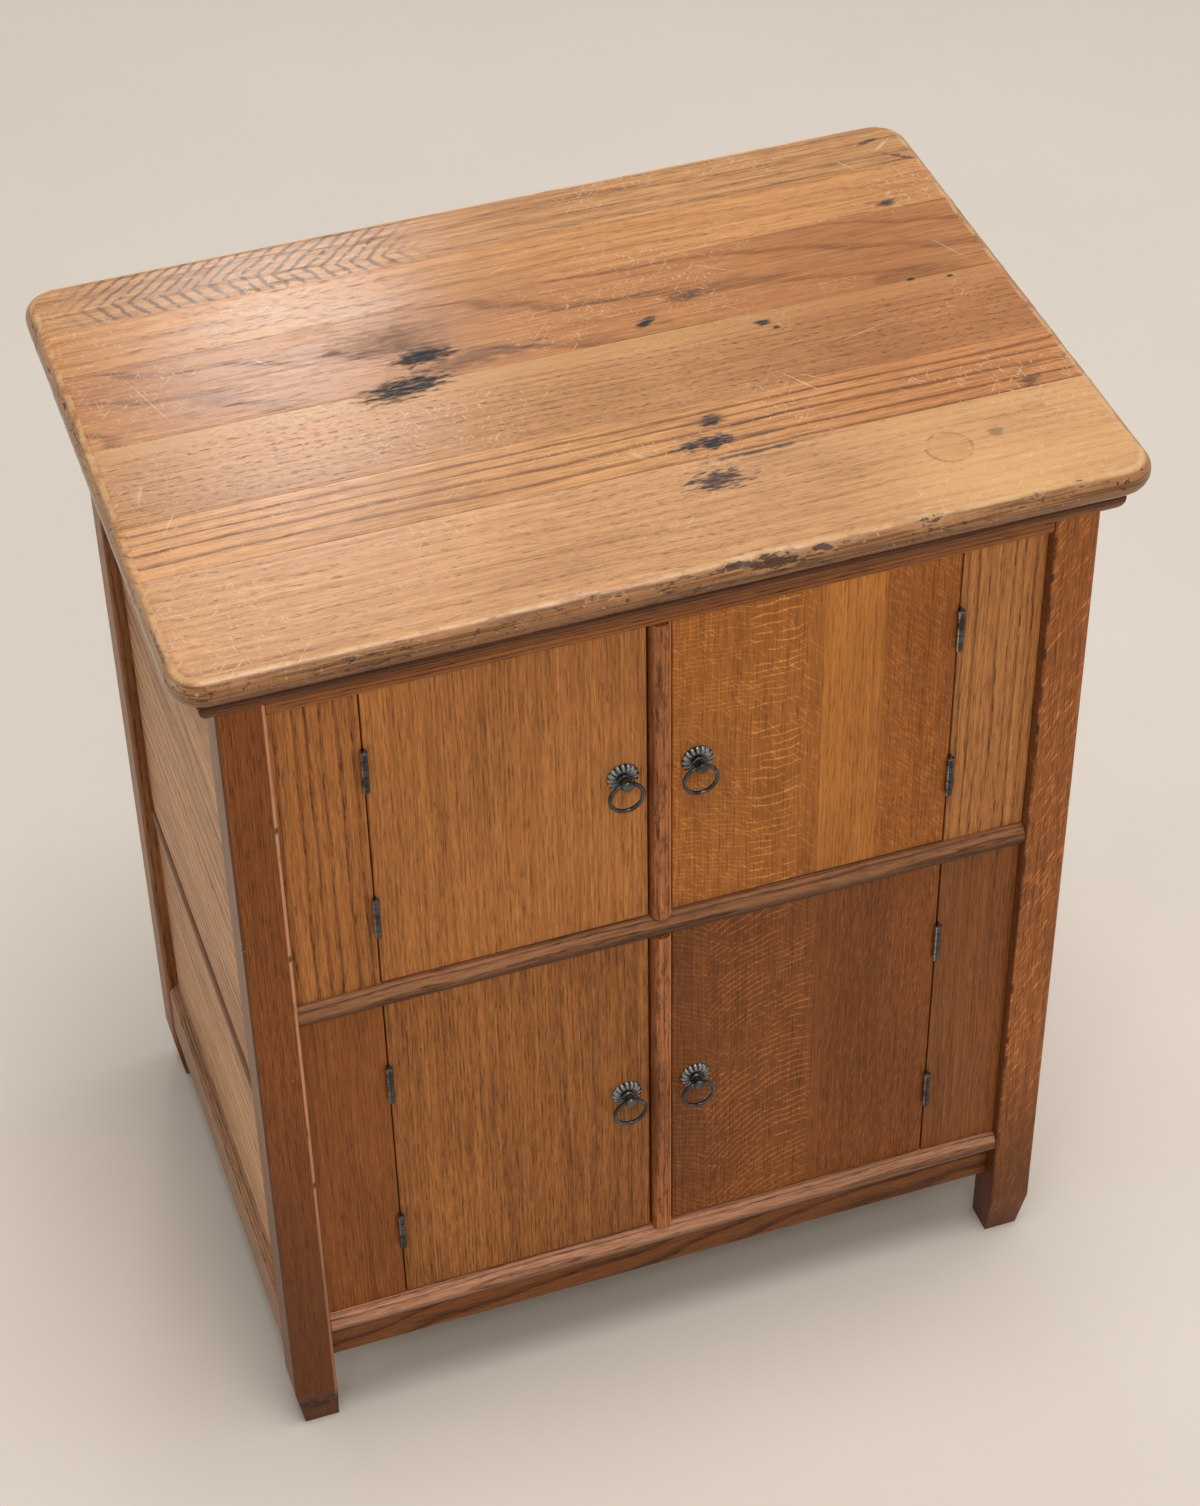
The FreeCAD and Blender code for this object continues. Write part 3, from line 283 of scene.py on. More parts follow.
def metal(name, tone, rub, rough, pitch, metallic=1.0, coat=0.0):
    """Metal with worn high spots, worn crests painted pale as highlights too where a piece marks them, and a
    fine cast skin.
    """
    made = Finish(name, 0.5, metallic, coat, 0.12)
    skin = made.noise(made.place, 1100.0, 3.0, 0.6)
    cloud = made.noise(made.place, pitch, 3.0, 0.6)
    made.colour = made.mix(made.step(cloud, 0.35, 0.7), (*tone, 1.0), (*rub, 1.0))
    # pale where a piece marks worn crests, as on the rosettes: wear and a painted highlight together
    made.paint((0.42, 0.42, 0.43), made.attribute("wear"), 0.7)
    made.rough = made.plus(made.scaled(skin, 0.25), made.scaled(cloud, 0.2), rough)
    made.height = skin
    made.lift = 0.03 * MM
    return made


def hinge_steel():
    """Dark hinges with a painted highlight down each barrel, dark where the knuckles meet, and painted light
    on their leaves and pin ends.
    """
    made = metal("dark_hinge_steel", (0.030, 0.030, 0.032), (0.080, 0.080, 0.082), 0.20, 90.0, 1.0, 0.25)
    # the leaves, behind the barrels, painted lighter: painted light where they lie in shade
    made.paint((0.17, 0.165, 0.16), made.ramp("Y", -213.2, -212.4), 0.8)
    front = made.ramp("Y", -215.5, -216.5)
    # a painted highlight down the front of each barrel
    for start in (-232.4, 226.6):
        strip = made.times(made.band("X", start, start + 0.9, 0.35), front)
        made.paint((0.62, 0.63, 0.65), strip, made.patches(0.30, 0.52, 90.0), 0.7)
    for level in HINGE_LEVELS["upper"] + HINGE_LEVELS["lower"]:
        turn = made.saw(made.plus(made.axis["Z"], (HINGE_HALF - level) * MM), KNUCKLE, 0.05)
        barrel = made.band("Z", level - 18, level + 18, 0.2)
        made.paint((0.006, 0.006, 0.006), made.step(turn, 0.10, 0.06), barrel, 0.8)
        # the pin's end above the barrel, painted pale: painted light over its shade
        made.paint((0.34, 0.34, 0.35), made.band("Z", level + 18.5, level + 24, 0.2), 0.7)
    return made.close()


# Stains on the top: place, half sizes, angle, raggedness, strength, softness
INK = (0.016, 0.020, 0.027)
STAINS = (
    ((-97, 61), (34, 14), 4, 0.9, 1.0, 0.7),
    ((-120, 27), (46, 17), 6, 1.0, 1.0, 0.7),
    ((-108, 88), (66, 34), 0, 0.7, 0.62, 1.25),
    ((-60, 46), (70, 12), 3, 1.2, 0.5, 0.7),
    ((79, -88), (13, 12), 0, 0.9, 1.0, 0.7),
    ((66, -112), (26, 11), 4, 1.2, 1.0, 0.7),
    ((96, -134), (56, 3.0), 1, 0.9, 0.9, 0.7),
    ((112, -98), (44, 2.4), 3, 0.9, 0.7, 0.7),
    ((104, -116), (40, 2.0), 2, 0.9, 0.6, 0.7),
    ((60, -157), (26, 15), 0, 1.6, 0.95, 0.7),
    ((75, 46), (12, 6), 20, 0.9, 1.0, 0.7),
    ((159, 15), (9, 5), -10, 0.6, 1.0, 0.7),
    ((166, 6), (4, 3), 0, 0.5, 1.0, 0.7),
    ((267, -171), (9, 8), 30, 1.0, 0.75, 0.7),
    ((317, -121), (11, 8), 20, 1.0, 0.75, 0.7),
    ((309, 135), (11, 5.5), 10, 0.8, 0.9, 0.7),
    ((118, 68), (20, 7), 8, 1.3, 0.6, 0.7),
    ((286, 30), (5, 3), 0, 0.5, 1.0, 0.7),
    ((316, 24), (4.4, 2.8), 0, 0.5, 1.0, 0.7),
    ((330, 224), (16, 3), 20, 1.2, 0.8, 0.7),
    ((345, 196), (18, 3), -40, 1.2, 0.7, 0.7),
)
# Scratches on the top: place, half sizes, angle, strength
SCRATCHES = (
    ((-302, 74), (50, 0.55), -72, 0.7),
    ((159, -67), (24, 0.8), -59, 0.8),
    ((168, -62), (16, 0.6), -40, 0.7),
    ((14, -109), (9, 3), -50, 0.4),
    ((338, 215), (12, 2.0), 40, 0.7),
    ((-334, -30), (14, 2.0), 70, 0.4),
    ((-322, -70), (16, 0.8), 60, 0.6),
    ((300, 196), (18, 0.7), -60, 0.6),
    ((-10, 150), (20, 0.6), 25, 0.6),
    ((150, 96), (26, 0.6), -35, 0.5),
    ((226, -22), (30, 0.6), 15, 0.55),
    ((330, 60), (22, 0.6), -64, 0.6),
    ((-212, 96), (9, 1.0), -40, 0.6),
)
CUP = (229, -177)


def chevrons(wood):
    """Broken dark lines that meet in points along the back board."""
    spine = wood.scaled(wood.noise(wood.place, 9.0), 34 * MM)
    off = wood.maths("SUBTRACT", wood.plus(wood.axis["Y"], -206 * MM), spine)
    back = wood.times(wood.maths("MAXIMUM", off, 0.0), 1.05)
    front = wood.times(wood.maths("MINIMUM", off, 0.0), -0.5)
    ragged = wood.scaled(wood.noise(wood.place, (60.0, 90.0, 60.0), 3.0, 0.6), 6 * MM)
    along = wood.maths("SUBTRACT", wood.plus(wood.axis["X"], ragged), wood.plus(back, front))
    turn = wood.saw(along, 12.5)
    line = wood.maths("MAXIMUM", wood.step(turn, 0.40, 0.14), wood.step(turn, 0.86, 1.0))
    dash = wood.patches(0.30, 0.46, (190.0, 190.0, 60.0))
    wood.paint((0.115, 0.060, 0.036), line, dash, wood.band("X", -322, -70, 34), 0.85)


def board_tones(wood, number):
    """What sets a board of the top apart from the others, under its marks."""
    if number == 1:
        chevrons(wood)
    if number == 3:
        wood.paint((0.30, 0.105, 0.036), wood.ramp("X", 50, 280), wood.step(wood.cloud, 0.35, 0.65), 0.5)
    if number == 4:
        wood.paint((0.60, 0.33, 0.14), wood.band("Y", 12, 40, 7), 0.55)
    if number == 5:
        wood.paint((0.20, 0.085, 0.035), wood.early, wood.step(wood.cloud, 0.2, 0.6), 0.3)
    if number in (4, 5):
        wood.tint((0.86, 0.74, 0.68), wood.ramp("X", 60, 260))


def nicks(wood, seed):
    """Tiny pale nicks all over the top, in short strokes, and more of them at its left end."""
    left_end = wood.times(wood.ramp("X", -250, -340), 0.6)
    patch = wood.maths("MAXIMUM", wood.patches(0.47, 0.62, (9.0, 12.0, 9.0)), left_end)
    for angle, length, width in ((35, 80.0, 620.0), (-50, 70.0, 560.0), (80, 90.0, 600.0)):
        run = wood.turned(wood.shifted(wood.place, seed), angle)
        nick = wood.patches(0.66, 0.72, (length, width, 20.0), 1.0, place=run)
        wood.paint((0.78, 0.60, 0.42), nick, patch, 0.5)


def marks(wood, number):
    """A board's share of the scratches and the stains."""
    back, front = TOP_SEAMS[number - 1], TOP_SEAMS[number]

    def on_board(centre, radii):
        reach = max(radii) * 1.3
        return front - reach < centre[1] < back + reach

    for centre, radii, angle, share in SCRATCHES:
        if on_board(centre, radii):
            wood.paint((0.80, 0.60, 0.42), wood.spot(centre, radii, angle, 1.1, 420.0, 0.8), share)
    grainy = wood.step(wood.fibre, 0.24, 0.46)
    stained = 0.0
    for centre, radii, angle, ragged, share, soft in STAINS:
        if on_board(centre, radii):
            mark = wood.times(wood.spot(centre, radii, angle, ragged, 90.0, soft), grainy, share)
            wood.paint(INK, mark)
            stained = wood.maths("MAXIMUM", stained, mark)
    wood.rough = wood.plus(wood.rough, wood.times(stained, 0.3), clamp=True)


def cup_ring(wood):
    """The front board's paler end, and the faint ring that a cup left on it."""
    wood.paint((0.78, 0.46, 0.20), wood.ramp("X", 20, 260), wood.step(wood.cloud, 0.25, 0.6), 0.55)
    disc = wood.spot(CUP, (19, 19), 0, 0.10, 300.0, 0.10)
    inner = wood.spot(CUP, (17.2, 17.2), 0, 0.14, 300.0, 0.10)
    ring = wood.maths("SUBTRACT", disc, inner, clamp=True)
    wood.paint((0.30, 0.15, 0.06), ring, wood.patches(0.38, 0.55, 140.0), 0.75)
    wood.paint((0.34, 0.17, 0.07), inner, 0.16)


def rolled_edge(wood, tone, seed):
    """The rounded edge: darker and knocked about, with painted highlights along its arris and its left end
    and painted shade on its underside.
    """
    edge = wood.ramp("Z", 853.2, 850.5)
    streak = wood.patches(0.46, 0.58, (11.0, 11.0, 520.0), 4.0, 0.65)
    wood.paint(shaded(tone, (0.55, 0.43, 0.30)), edge, 0.75)
    wood.paint((0.11, 0.045, 0.017), edge, streak, 0.65)
    # painted highlight along the left end's rounded edge
    wood.paint((0.50, 0.35, 0.23), edge, wood.ramp("X", -352, -360), 0.35)
    for pitch, low, high, share, shade in (
        (150.0, 0.62, 0.67, 0.75, (0.05, 0.024, 0.014)),
        (190.0, 0.64, 0.70, 0.6, (0.72, 0.50, 0.30)),
    ):
        knock = wood.patches(low, high, (pitch, pitch, pitch * 1.8), 3.0, 0.6, wood.shifted(wood.place, seed))
        wood.paint(shade, edge, knock, share)
    # painted shade on the underside of the rounded edge
    wood.paint(shaded(tone, (0.30, 0.24, 0.19)), wood.ramp("Z", 844, 834), 0.75)
    # a painted highlight along the top arris
    arris = wood.times(wood.ramp("Z", 853.9, 853.4), wood.ramp("Z", 851.2, 852.6))
    wood.paint((0.74, 0.46, 0.23), arris, wood.patches(0.60, 0.44, (40.0, 40.0, 60.0), 4.0, 0.7), 0.6)
    # chips are bare at their rims and dark and ragged inside
    chip = wood.attribute("chip")
    crumbled = wood.plus(chip, wood.scaled(wood.noise(wood.place, (75.0, 75.0, 420.0), 4.0, 0.7), 2.6))
    struck = wood.step(chip, 0.02, 0.14)
    wood.paint((0.50, 0.30, 0.15), struck, wood.step(crumbled, 0.20, 0.36), 0.4)
    wood.paint((0.060, 0.028, 0.018), struck, wood.step(crumbled, 0.62, 0.84), 0.9)
    vein = wood.noise(wood.shifted(wood.place, (0.4, 0.0, 0.0)), (16.0, 16.0, 150.0), 3.0, 0.6)
    crack = wood.step(wood.maths("ABSOLUTE", wood.plus(vein, -0.5)), 0.022, 0.008)
    wood.paint((0.045, 0.022, 0.014), edge, crack, wood.patches(0.48, 0.58, 14.0), 0.8)
    worn_edges(wood, (0.10, 0.045, 0.02), 0.55)


def top_finish(number, tone, seed, cut):
    """One board of the top with its own cut, marks and edge."""
    wood = oak(f"top_oak_{number}", "X", "Z", tone, seed, rough=0.23, specular=0.30, lift=0.03, **cut)
    board_tones(wood, number)
    nicks(wood, seed)
    marks(wood, number)
    if number == 6:
        cup_ring(wood)
    rolled_edge(wood, tone, seed)
    return wood.close()


# The top's boards from back to front: tone, seed and cut
BOARDS = (
    (
        (0.535, 0.268, 0.114), (4.0, 0.3, 0.0),
        dict(spacing=5.0, centre=500, under=40, wander=7, rings=0.2),
    ),
    (
        (0.595, 0.280, 0.108), (9.0, 2.3, 0.0),
        dict(spacing=4.0, centre=420, under=40, wander=8, rings=0.15, pores=0.5, fibre=1.0, cell=(110, 560)),
    ),
    (
        (0.455, 0.196, 0.076), (1.0, 7.7, 0.0),
        dict(spacing=7.0, centre=-90, under=30, tilt=0.04, wander=13, line=0.22),
    ),
    (
        (0.555, 0.278, 0.122), (6.0, 5.1, 0.0),
        dict(spacing=2.6, centre=300, under=40, wander=7, rings=0.1, pores=0.75, fibre=0.85, cell=(150, 540)),
    ),
    (
        (0.575, 0.282, 0.118), (2.0, 3.9, 0.0),
        dict(spacing=4.6, centre=-430, under=30, wander=3, line=0.28, rings=0.6, pores=0.7),
    ),
    (
        (0.615, 0.325, 0.158), (7.0, 8.6, 0.0),
        dict(spacing=4.4, centre=-560, under=50, wander=9, rings=0.12, fibre=0.9, cell=(130, 560)),
    ),
)
TOP = {number: top_finish(number, *board) for number, board in enumerate(BOARDS, 1)}


def worn_oak(name, along, depth, tone, seed, wear=(0.50, 0.24, 0.10), share=0.6, **cut):
    """Oak with rubbed arrises, open to further work."""
    wood = oak(name, along, depth, tone, seed, **cut)
    worn_edges(wood, wear, share)
    return wood


def plain(name, along, depth, tone, seed, **cut):
    return worn_oak(name, along, depth, tone, seed, **cut).close()


def graded(name, tone, seed, first, last, share, dark, **cut):
    """A rail across the front with painted shade that darkens it from one level to another."""
    wood = worn_oak(name, "X", "Y", tone, seed, **cut)
    # painted shade, laid from the first level to the last
    wood.paint(dark, wood.ramp("Z", first, last), share)
    return wood.close()


def bead():
    """The centre bead: mottled, and brighter along its right edge."""
    wood = worn_oak(
        "bead_oak", "Z", "Y", (0.470, 0.165, 0.052), (4.0, 6.6, 1.1), (0.62, 0.32, 0.13), 0.5,
        centre=200, pores=1.0, blotch=1.3,
    )
    mottle = wood.patches(0.50, 0.62, (70.0, 260.0, 260.0), 3.0, 0.65, wood.grain)
    wood.paint((0.11, 0.042, 0.018), mottle, 0.6)
    wood.paint((0.80, 0.40, 0.17), wood.ramp("X", -1.2, 0.2), 0.75)
    wood.paint((0.16, 0.055, 0.020), wood.ramp("X", -11.8, -13.2), 0.5)
    return wood.close()


def side_rail():
    """The sides' rails, with the thin half-round between the panels darker."""
    wood = worn_oak(
        "side_rail_oak", "Y", "X", (0.34, 0.175, 0.090), (2.0, 7.0, 4.0), (0.62, 0.42, 0.27),
        spacing=3.4, centre=500, rings=0.45, pores=0.9, blotch=0.7,
    )
    wood.paint((0.17, 0.076, 0.034), wood.band("Z", 325, 340, 1.0), 0.65)
    return wood.close()


def left_post():
    """The front left post: a greyer outer side, a worn strip down its inner arris painted bright as a
    highlight too, painted shade towards the bottom and a dark foot.
    """
    wood = worn_oak(
        "left_post_oak", "Z", "Y", (0.250, 0.074, 0.0145), (1.2, 4.4, 2.0), share=0.35,
        spacing=2.2, centre=-700, rings=0.25, pores=0.7,
    )
    side = wood.times(wood.ramp("X", -331.2, -332.6), wood.ramp("Y", -222.2, -220.5))
    wood.paint((0.265, 0.145, 0.078), side, 0.8)
    wood.paint((0.11, 0.058, 0.030), side, wood.patches(0.48, 0.62, (200.0, 300.0, 7.0), 3.0, 0.65), 0.6)
    # the worn strip down the inner arris, painted bright as a highlight as well
    strip = wood.times(wood.ramp("X", -300.4, -299.2), wood.ramp("Y", -219.5, -221.0))
    wood.paint((0.74, 0.36, 0.19), strip, wood.patches(0.24, 0.46, (60.0, 60.0, 22.0), 3.0, 0.65), 0.95)
    for level, reach, shade in (
        (682, 3.5, (0.06, 0.03, 0.02)),
        (676, 4.0, (0.60, 0.42, 0.36)),
        (553, 3.0, (0.07, 0.03, 0.02)),
        (300, 3.0, (0.07, 0.03, 0.02)),
    ):
        wood.paint(shade, strip, wood.band("Z", level - reach, level + reach, 1.2), 0.85)
    arris = wood.times(wood.ramp("X", -330.8, -332.2), wood.ramp("Y", -219.5, -221.5))
    wood.paint((0.06, 0.025, 0.012), arris, 0.7)
    speck = wood.patches(0.70, 0.75, (230.0, 40.0, 230.0))
    wood.paint((0.55, 0.36, 0.24), speck, wood.patches(0.56, 0.66, (3.0, 3.0, 14.0)), 0.6)
    # painted shade, darker towards the bottom
    wood.paint((0.10, 0.030, 0.008), wood.ramp("Z", 450, 120), 0.55)
    wood.paint((0.025, 0.011, 0.007), wood.ramp("Z", 60, 4), wood.step(wood.cloud, 0.3, 0.6), 0.7)
    scuff = wood.patches(0.45, 0.55, (110.0, 60.0, 150.0), 3.0, 0.65)
    wood.paint((0.016, 0.010, 0.009), wood.band("Z", 17, 34, 6), scuff, 0.85)
    return wood.close()


def right_post():
    """The front right post: slanting flecks, painted shade on its inner side face, a gouged inner arris,
    painted shade towards the bottom and a dark foot.
    """
    wood = worn_oak(
        "right_post_oak", "Z", "Y", (0.385, 0.124, 0.029), (6.2, 1.4, 5.0), share=0.5,
        spacing=2.6, centre=900, rings=0.15,
    )
    strokes(wood, 58, 0.85, (56.0, 620.0), (0.62, 0.66))
    strokes(wood, 66, 0.6, (80.0, 760.0), (0.62, 0.67), seed=(0.5, 0.2, 0.0))
    # painted shade on the inner side face, in the recess beside the panels
    wood.paint((0.085, 0.034, 0.016), wood.ramp("X", 298.2, 297.4), 0.72)
    arris = wood.times(wood.ramp("X", 300.0, 298.4), wood.ramp("Y", -220.5, -222.2))
    wood.paint((0.07, 0.032, 0.018), arris, wood.patches(0.50, 0.60, (40.0, 40.0, 34.0), 3.0, 0.6), 0.8)
    for level, reach in ((674, 5.0), (748, 4.0), (598, 5.0), (250, 4.0)):
        wood.paint((0.045, 0.025, 0.018), arris, wood.band("Z", level - reach, level + reach, 1.5), 0.9)
    # painted shade, darker towards the bottom
    wood.paint((0.110, 0.034, 0.010), wood.ramp("Z", 300, 60), 0.70)
    wood.paint((0.03, 0.012, 0.006), wood.ramp("Z", 40, 4), wood.step(wood.cloud, 0.3, 0.6), 0.6)
    return wood.close()


def quartered_door(name, tone, seed, stripe, zones, angles, share):
    """A door of three boards: rays to the left, a plain stripe, strokes to the right."""
    wood = worn_oak(name, "Z", "Y", tone, seed, centre=1500, rings=0.12, pores=0.5, fibre=1.0, blotch=0.9)
    start, end, paleness = stripe
    left, right = wood.ramp("X", start, start - 3), wood.ramp("X", end, end + 3)
    wood.tint((1.38, 1.48, 1.55), wood.band("X", start, end, 1.5), paleness)
    wood.tint((0.90, 0.80, 0.72), right, 0.5)
    for zone in zones:
        rays(wood, *zone)
    for angle, part, size, limits, where, shift, pale in (
        (angles[0], 0.6, (60.0, 560.0), (0.61, 0.66), left, (0.9, 0.4, 0.0), (1.6, 1.8, 2.1)),
        (angles[1], 0.75, (80.0, 640.0), (0.54, 0.62), right, (1.4, 0.9, 0.0), (1.5, 1.6, 1.8)),
        (angles[1] + 14, 0.45, (70.0, 560.0), (0.56, 0.66), right, (0.4, 0.2, 0.0), (0.66, 0.56, 0.5)),
    ):
        strokes(wood, angle, share * part, size, limits, where, shift, pale)
    return wood.close()


DOOR_OAK = {
    "upper_left": plain(
        "door_oak_upper_left", "Z", "Y", (0.510, 0.195, 0.051), (3.0, 1.0, 4.0),
        spacing=3.4, centre=-900, rings=0.14, blotch=0.4,
    ),
    "lower_left": plain(
        "door_oak_lower_left", "Z", "Y", (0.385, 0.140, 0.033), (5.0, 2.2, 4.4),
        centre=-700, rings=0.16, pores=0.75, fibre=1.8, blotch=0.9,
    ),
    "upper_right": quartered_door(
        "door_oak_upper_right", (0.440, 0.150, 0.028), (8.0, 6.0, 1.0), (122, 170, 0.8),
        (((-5, 70, 6), 14, 4.4, 0.16, 0.60), ((66, 106, 5), -3, 7.6, 0.16, 0.95)), (-48, -52), 0.85,
    ),
    "lower_right": quartered_door(
        "door_oak_lower_right", (0.245, 0.076, 0.0148), (2.5, 3.6, 7.0), (126, 132, 0.1),
        (((34, 122, 9), 0, 7.0, 0.19, 0.95, 5.6, (2.0, 2.2, 2.6)), ((-5, 40, 8), 26, 5.4, 0.14, 0.7)),
        (-40, 78), 0.9,
    ),
}
PANEL_OAK = {
    "upper_left": plain(
        "panel_oak_upper_left", "Z", "Y", (0.440, 0.160, 0.040), (1.5, 9.0, 2.0),
        spacing=9.5, centre=-470, under=40, wander=10, line=0.35, rings=0.5, pores=1.0,
    ),
    "lower_left": plain(
        "panel_oak_lower_left", "Z", "Y", (0.305, 0.096, 0.0175), (4.5, 3.0, 6.0),
        centre=-800, rings=0.12, pores=0.45,
    ),
    "upper_right": plain(
        "panel_oak_upper_right", "Z", "Y", (0.480, 0.190, 0.055), (7.5, 5.0, 3.0),
        spacing=8.0, centre=520, under=40, wander=8, line=0.35, rings=0.42, pores=0.9,
    ),
    "lower_right": plain(
        "panel_oak_lower_right", "Z", "Y", (0.275, 0.090, 0.021), (9.5, 7.0, 8.0),
        centre=800, rings=0.15, pores=0.45,
    ),
}
# painted shadow: the moulding darkens towards its top, under the top's overhang
MOULDING_OAK = graded(
    "moulding_oak", (0.205, 0.072, 0.022), (2.0, 2.0, 5.5), 812, 824, 0.8, (0.036, 0.013, 0.006),
    spacing=3.6, centre=60, under=30, wander=9, rings=0.7, pores=0.9, blotch=0.9,
)
MOULDING_SIDE_OAK = plain(
    "moulding_side_oak", "Y", "X", (0.150, 0.055, 0.020), (5.0, 1.0, 3.5), centre=300, rings=0.35, pores=0.8,
)
TOP_RAIL_OAK = plain(
    "top_rail_oak", "X", "Y", (0.300, 0.104, 0.030), (1.0, 4.0, 2.5),
    spacing=3.4, centre=500, rings=0.6, pores=0.9, blotch=0.8,
)
RAIL_WEAR = (0.58, 0.34, 0.18)
# painted shade: the middle rail darkens towards its lower edge, where its rounded front faces down
RAIL_OAK = graded(
    "rail_oak", (0.310, 0.135, 0.060), (6.0, 4.0, 7.5), 487, 479, 0.85, (0.055, 0.020, 0.008),
    wear=RAIL_WEAR, spacing=3.4, centre=460, wander=9, rings=0.6, pores=0.9, blotch=0.8,
)
# painted shade: the bottom rail darkens towards its lower edge
LOW_RAIL_OAK = graded(
    "low_rail_oak", (0.470, 0.225, 0.125), (3.0, 8.0, 1.5), 122, 112, 0.7, (0.085, 0.032, 0.014),
    wear=RAIL_WEAR, spacing=3.8, centre=90, under=30, wander=9, rings=0.6, pores=0.9, blotch=0.8,
)
APRON_OAK = plain(
    "apron_oak", "X", "Y", (0.195, 0.064, 0.016), (8.0, 5.0, 3.3),
    spacing=4.2, centre=60, under=24, tilt=0.03, wander=9, rings=0.7, pores=0.9,
)
BEAD_OAK = bead()
SIDE_OAK = plain(
    "side_oak", "Y", "X", (0.53, 0.285, 0.145), (1.0, 5.0, 9.0), wear=(0.60, 0.42, 0.28), spacing=11.0,
    centre=700, under=70, wander=16, line=0.6, rings=0.35, pores=0.5, fibre=1.7, blotch=0.9, rough=0.5,
)
SIDE_RAIL_OAK = side_rail()
BACK_POST_OAK = plain(
    "back_post_oak", "Z", "X", (0.29, 0.125, 0.050), (3.0, 9.0, 6.0), centre=600, rings=0.3, pores=0.8,
)
INNER_LONG = plain(
    "inner_oak_long", "X", "Z", (0.44, 0.300, 0.170), (9.0, 1.0, 2.0),
    spacing=4.0, centre=200, under=50, wander=10, rings=0.35, rough=0.62,
)
INNER_UP = plain(
    "inner_oak_upright", "Z", "Y", (0.42, 0.285, 0.160), (7.0, 2.0, 8.0),
    spacing=4.5, centre=90, wander=12, rough=0.62,
)
INNER_DEEP = plain(
    "inner_oak_deep", "Y", "Z", (0.42, 0.280, 0.155), (6.0, 3.0, 1.0),
    spacing=4.0, centre=260, under=50, rings=0.3, rough=0.62,
)
# painted shade: the stile is near black for the deep shade in the gap between the doors, on top of its dark
# stain
STILE_OAK = plain(
    "stile_oak", "Z", "Y", (0.060, 0.026, 0.012), (2.0, 8.0, 8.0),
    wear=(0.10, 0.05, 0.025), centre=300, rings=0.2,
)
LEFT_POST_OAK = left_post()
RIGHT_POST_OAK = right_post()
IRON = metal("black_iron", (0.032, 0.033, 0.036), (0.11, 0.111, 0.115), 0.16, 120.0, 0.8, 0.2).close()
STEEL = hinge_steel()
SCREW_STEEL = metal("screw_steel", (0.26, 0.255, 0.245), (0.46, 0.455, 0.445), 0.28, 400.0).close()
BRASS = metal("dull_brass", (0.36, 0.25, 0.10), (0.52, 0.39, 0.18), 0.36, 300.0).close()


# Shapes

# Corners sharper than this many degrees are arrises, and are worn at this pitch
SHARP = 32.0
WEAR_PITCH = 60.0


def copied(name):
    """A node's own shape as one joined mesh with its flat faces whole."""
    made = bmesh.new()
    made.from_mesh(NODES[name].data)
    bmesh.ops.remove_doubles(made, verts=made.verts, dist=0.002 * MM)
    bmesh.ops.dissolve_limit(made, angle_limit=math.radians(0.4), verts=made.verts, edges=made.edges)
    return made


def cut_across(made, place, normal):
    geometry = made.verts[:] + made.edges[:] + made.faces[:]
    bmesh.ops.bisect_plane(made, geom=geometry, dist=0.0001 * MM, plane_co=place, plane_no=normal)


def sliced(made, axis, pitch):
    """Cuts across an axis at an even pitch, so that an edge can be worn along its length."""
    way = "XYZ".index(axis)
    places = [vert.co[way] for vert in made.verts]
    low, high = min(places), max(places)
    count = max(2, round((high - low) / (pitch * MM)))
    normal = Vector(float(way == part) for part in range(3))
    for number in range(1, count):
        cut_across(made, normal * (low + (high - low) * number / count), normal)


def sharp_edges(made, test=None):
    """The arrises that stand out, or those of them that pass a test of their two ends in millimetres."""
    found = []
    for edge in made.edges:
        if len(edge.link_faces) == 2 and edge.is_convex and edge.calc_face_angle(0.0) > math.radians(SHARP):
            if test is None or test(*(vert.co / MM for vert in edge.verts)):
                found.append(edge)
    return found


def rounded(made, edges, width, segments):
    """Rounds edges over and gives back the new faces."""
    return bmesh.ops.bevel(
        made, geom=edges, offset=width * MM, offset_type="OFFSET", segments=segments, profile=0.5,
        affect="EDGES", clamp_overlap=True, material=-1,
    )["faces"]


def soften(made, edges, width, dent, seed):
    """Rounds edges over and wears their middles inwards, unevenly."""
    wear = made.verts.layers.float.get("wear") or made.verts.layers.float.new("wear")
    fresh = set(rounded(made, edges, width, 2))
    made.normal_update()
    for vert in {vert for face in fresh for vert in face.verts}:
        if all(face in fresh for face in vert.link_faces):
            vert[wear] = 1.0
            depth = 0.5 + 0.5 * noise.noise(vert.co * WEAR_PITCH + Vector((seed, seed, seed)))
            vert.co -= vert.normal * depth * dent * MM


def linked(name, mesh):
    item = bpy.data.objects.new(name, mesh)
    bpy.context.scene.collection.objects.link(item)
    return item


def piece(name, made, body, finish, stands_for=(), smooth=34.0):
    """A finished piece that rides on its body and stands for its nodes."""
    mesh = bpy.data.meshes.new(name)
    made.to_mesh(mesh)
    made.free()
    mesh.materials.append(finish)
    mesh.shade_smooth()
    mesh.set_sharp_from_angle(angle=math.radians(smooth))
    item = linked(name, mesh)
    item.modifiers.new("even_faces", "WEIGHTED_NORMAL").keep_sharp = True
    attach(item, body)
    if stands_for:
        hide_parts(*stands_for)


def softened(name, finish, width=0.8, dent=0.3, axis=None, pitch=12.0, seed=0.0, first=None):
    """A worn copy of one node: some arrises first if they are rounder, then the rest."""
    made = copied(name)
    if axis:
        sliced(made, axis, pitch)
    if first:
        test, broad, deep = first
        soften(made, sharp_edges(made, test), broad, deep, seed + 3.7)
    soften(made, sharp_edges(made), width, dent, seed)
    piece("worn_" + name, made, NODES[name]["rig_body"], finish, (name,))


def dressed(name, finish):
    for holder in NODES[name].material_slots:
        holder.material = finish


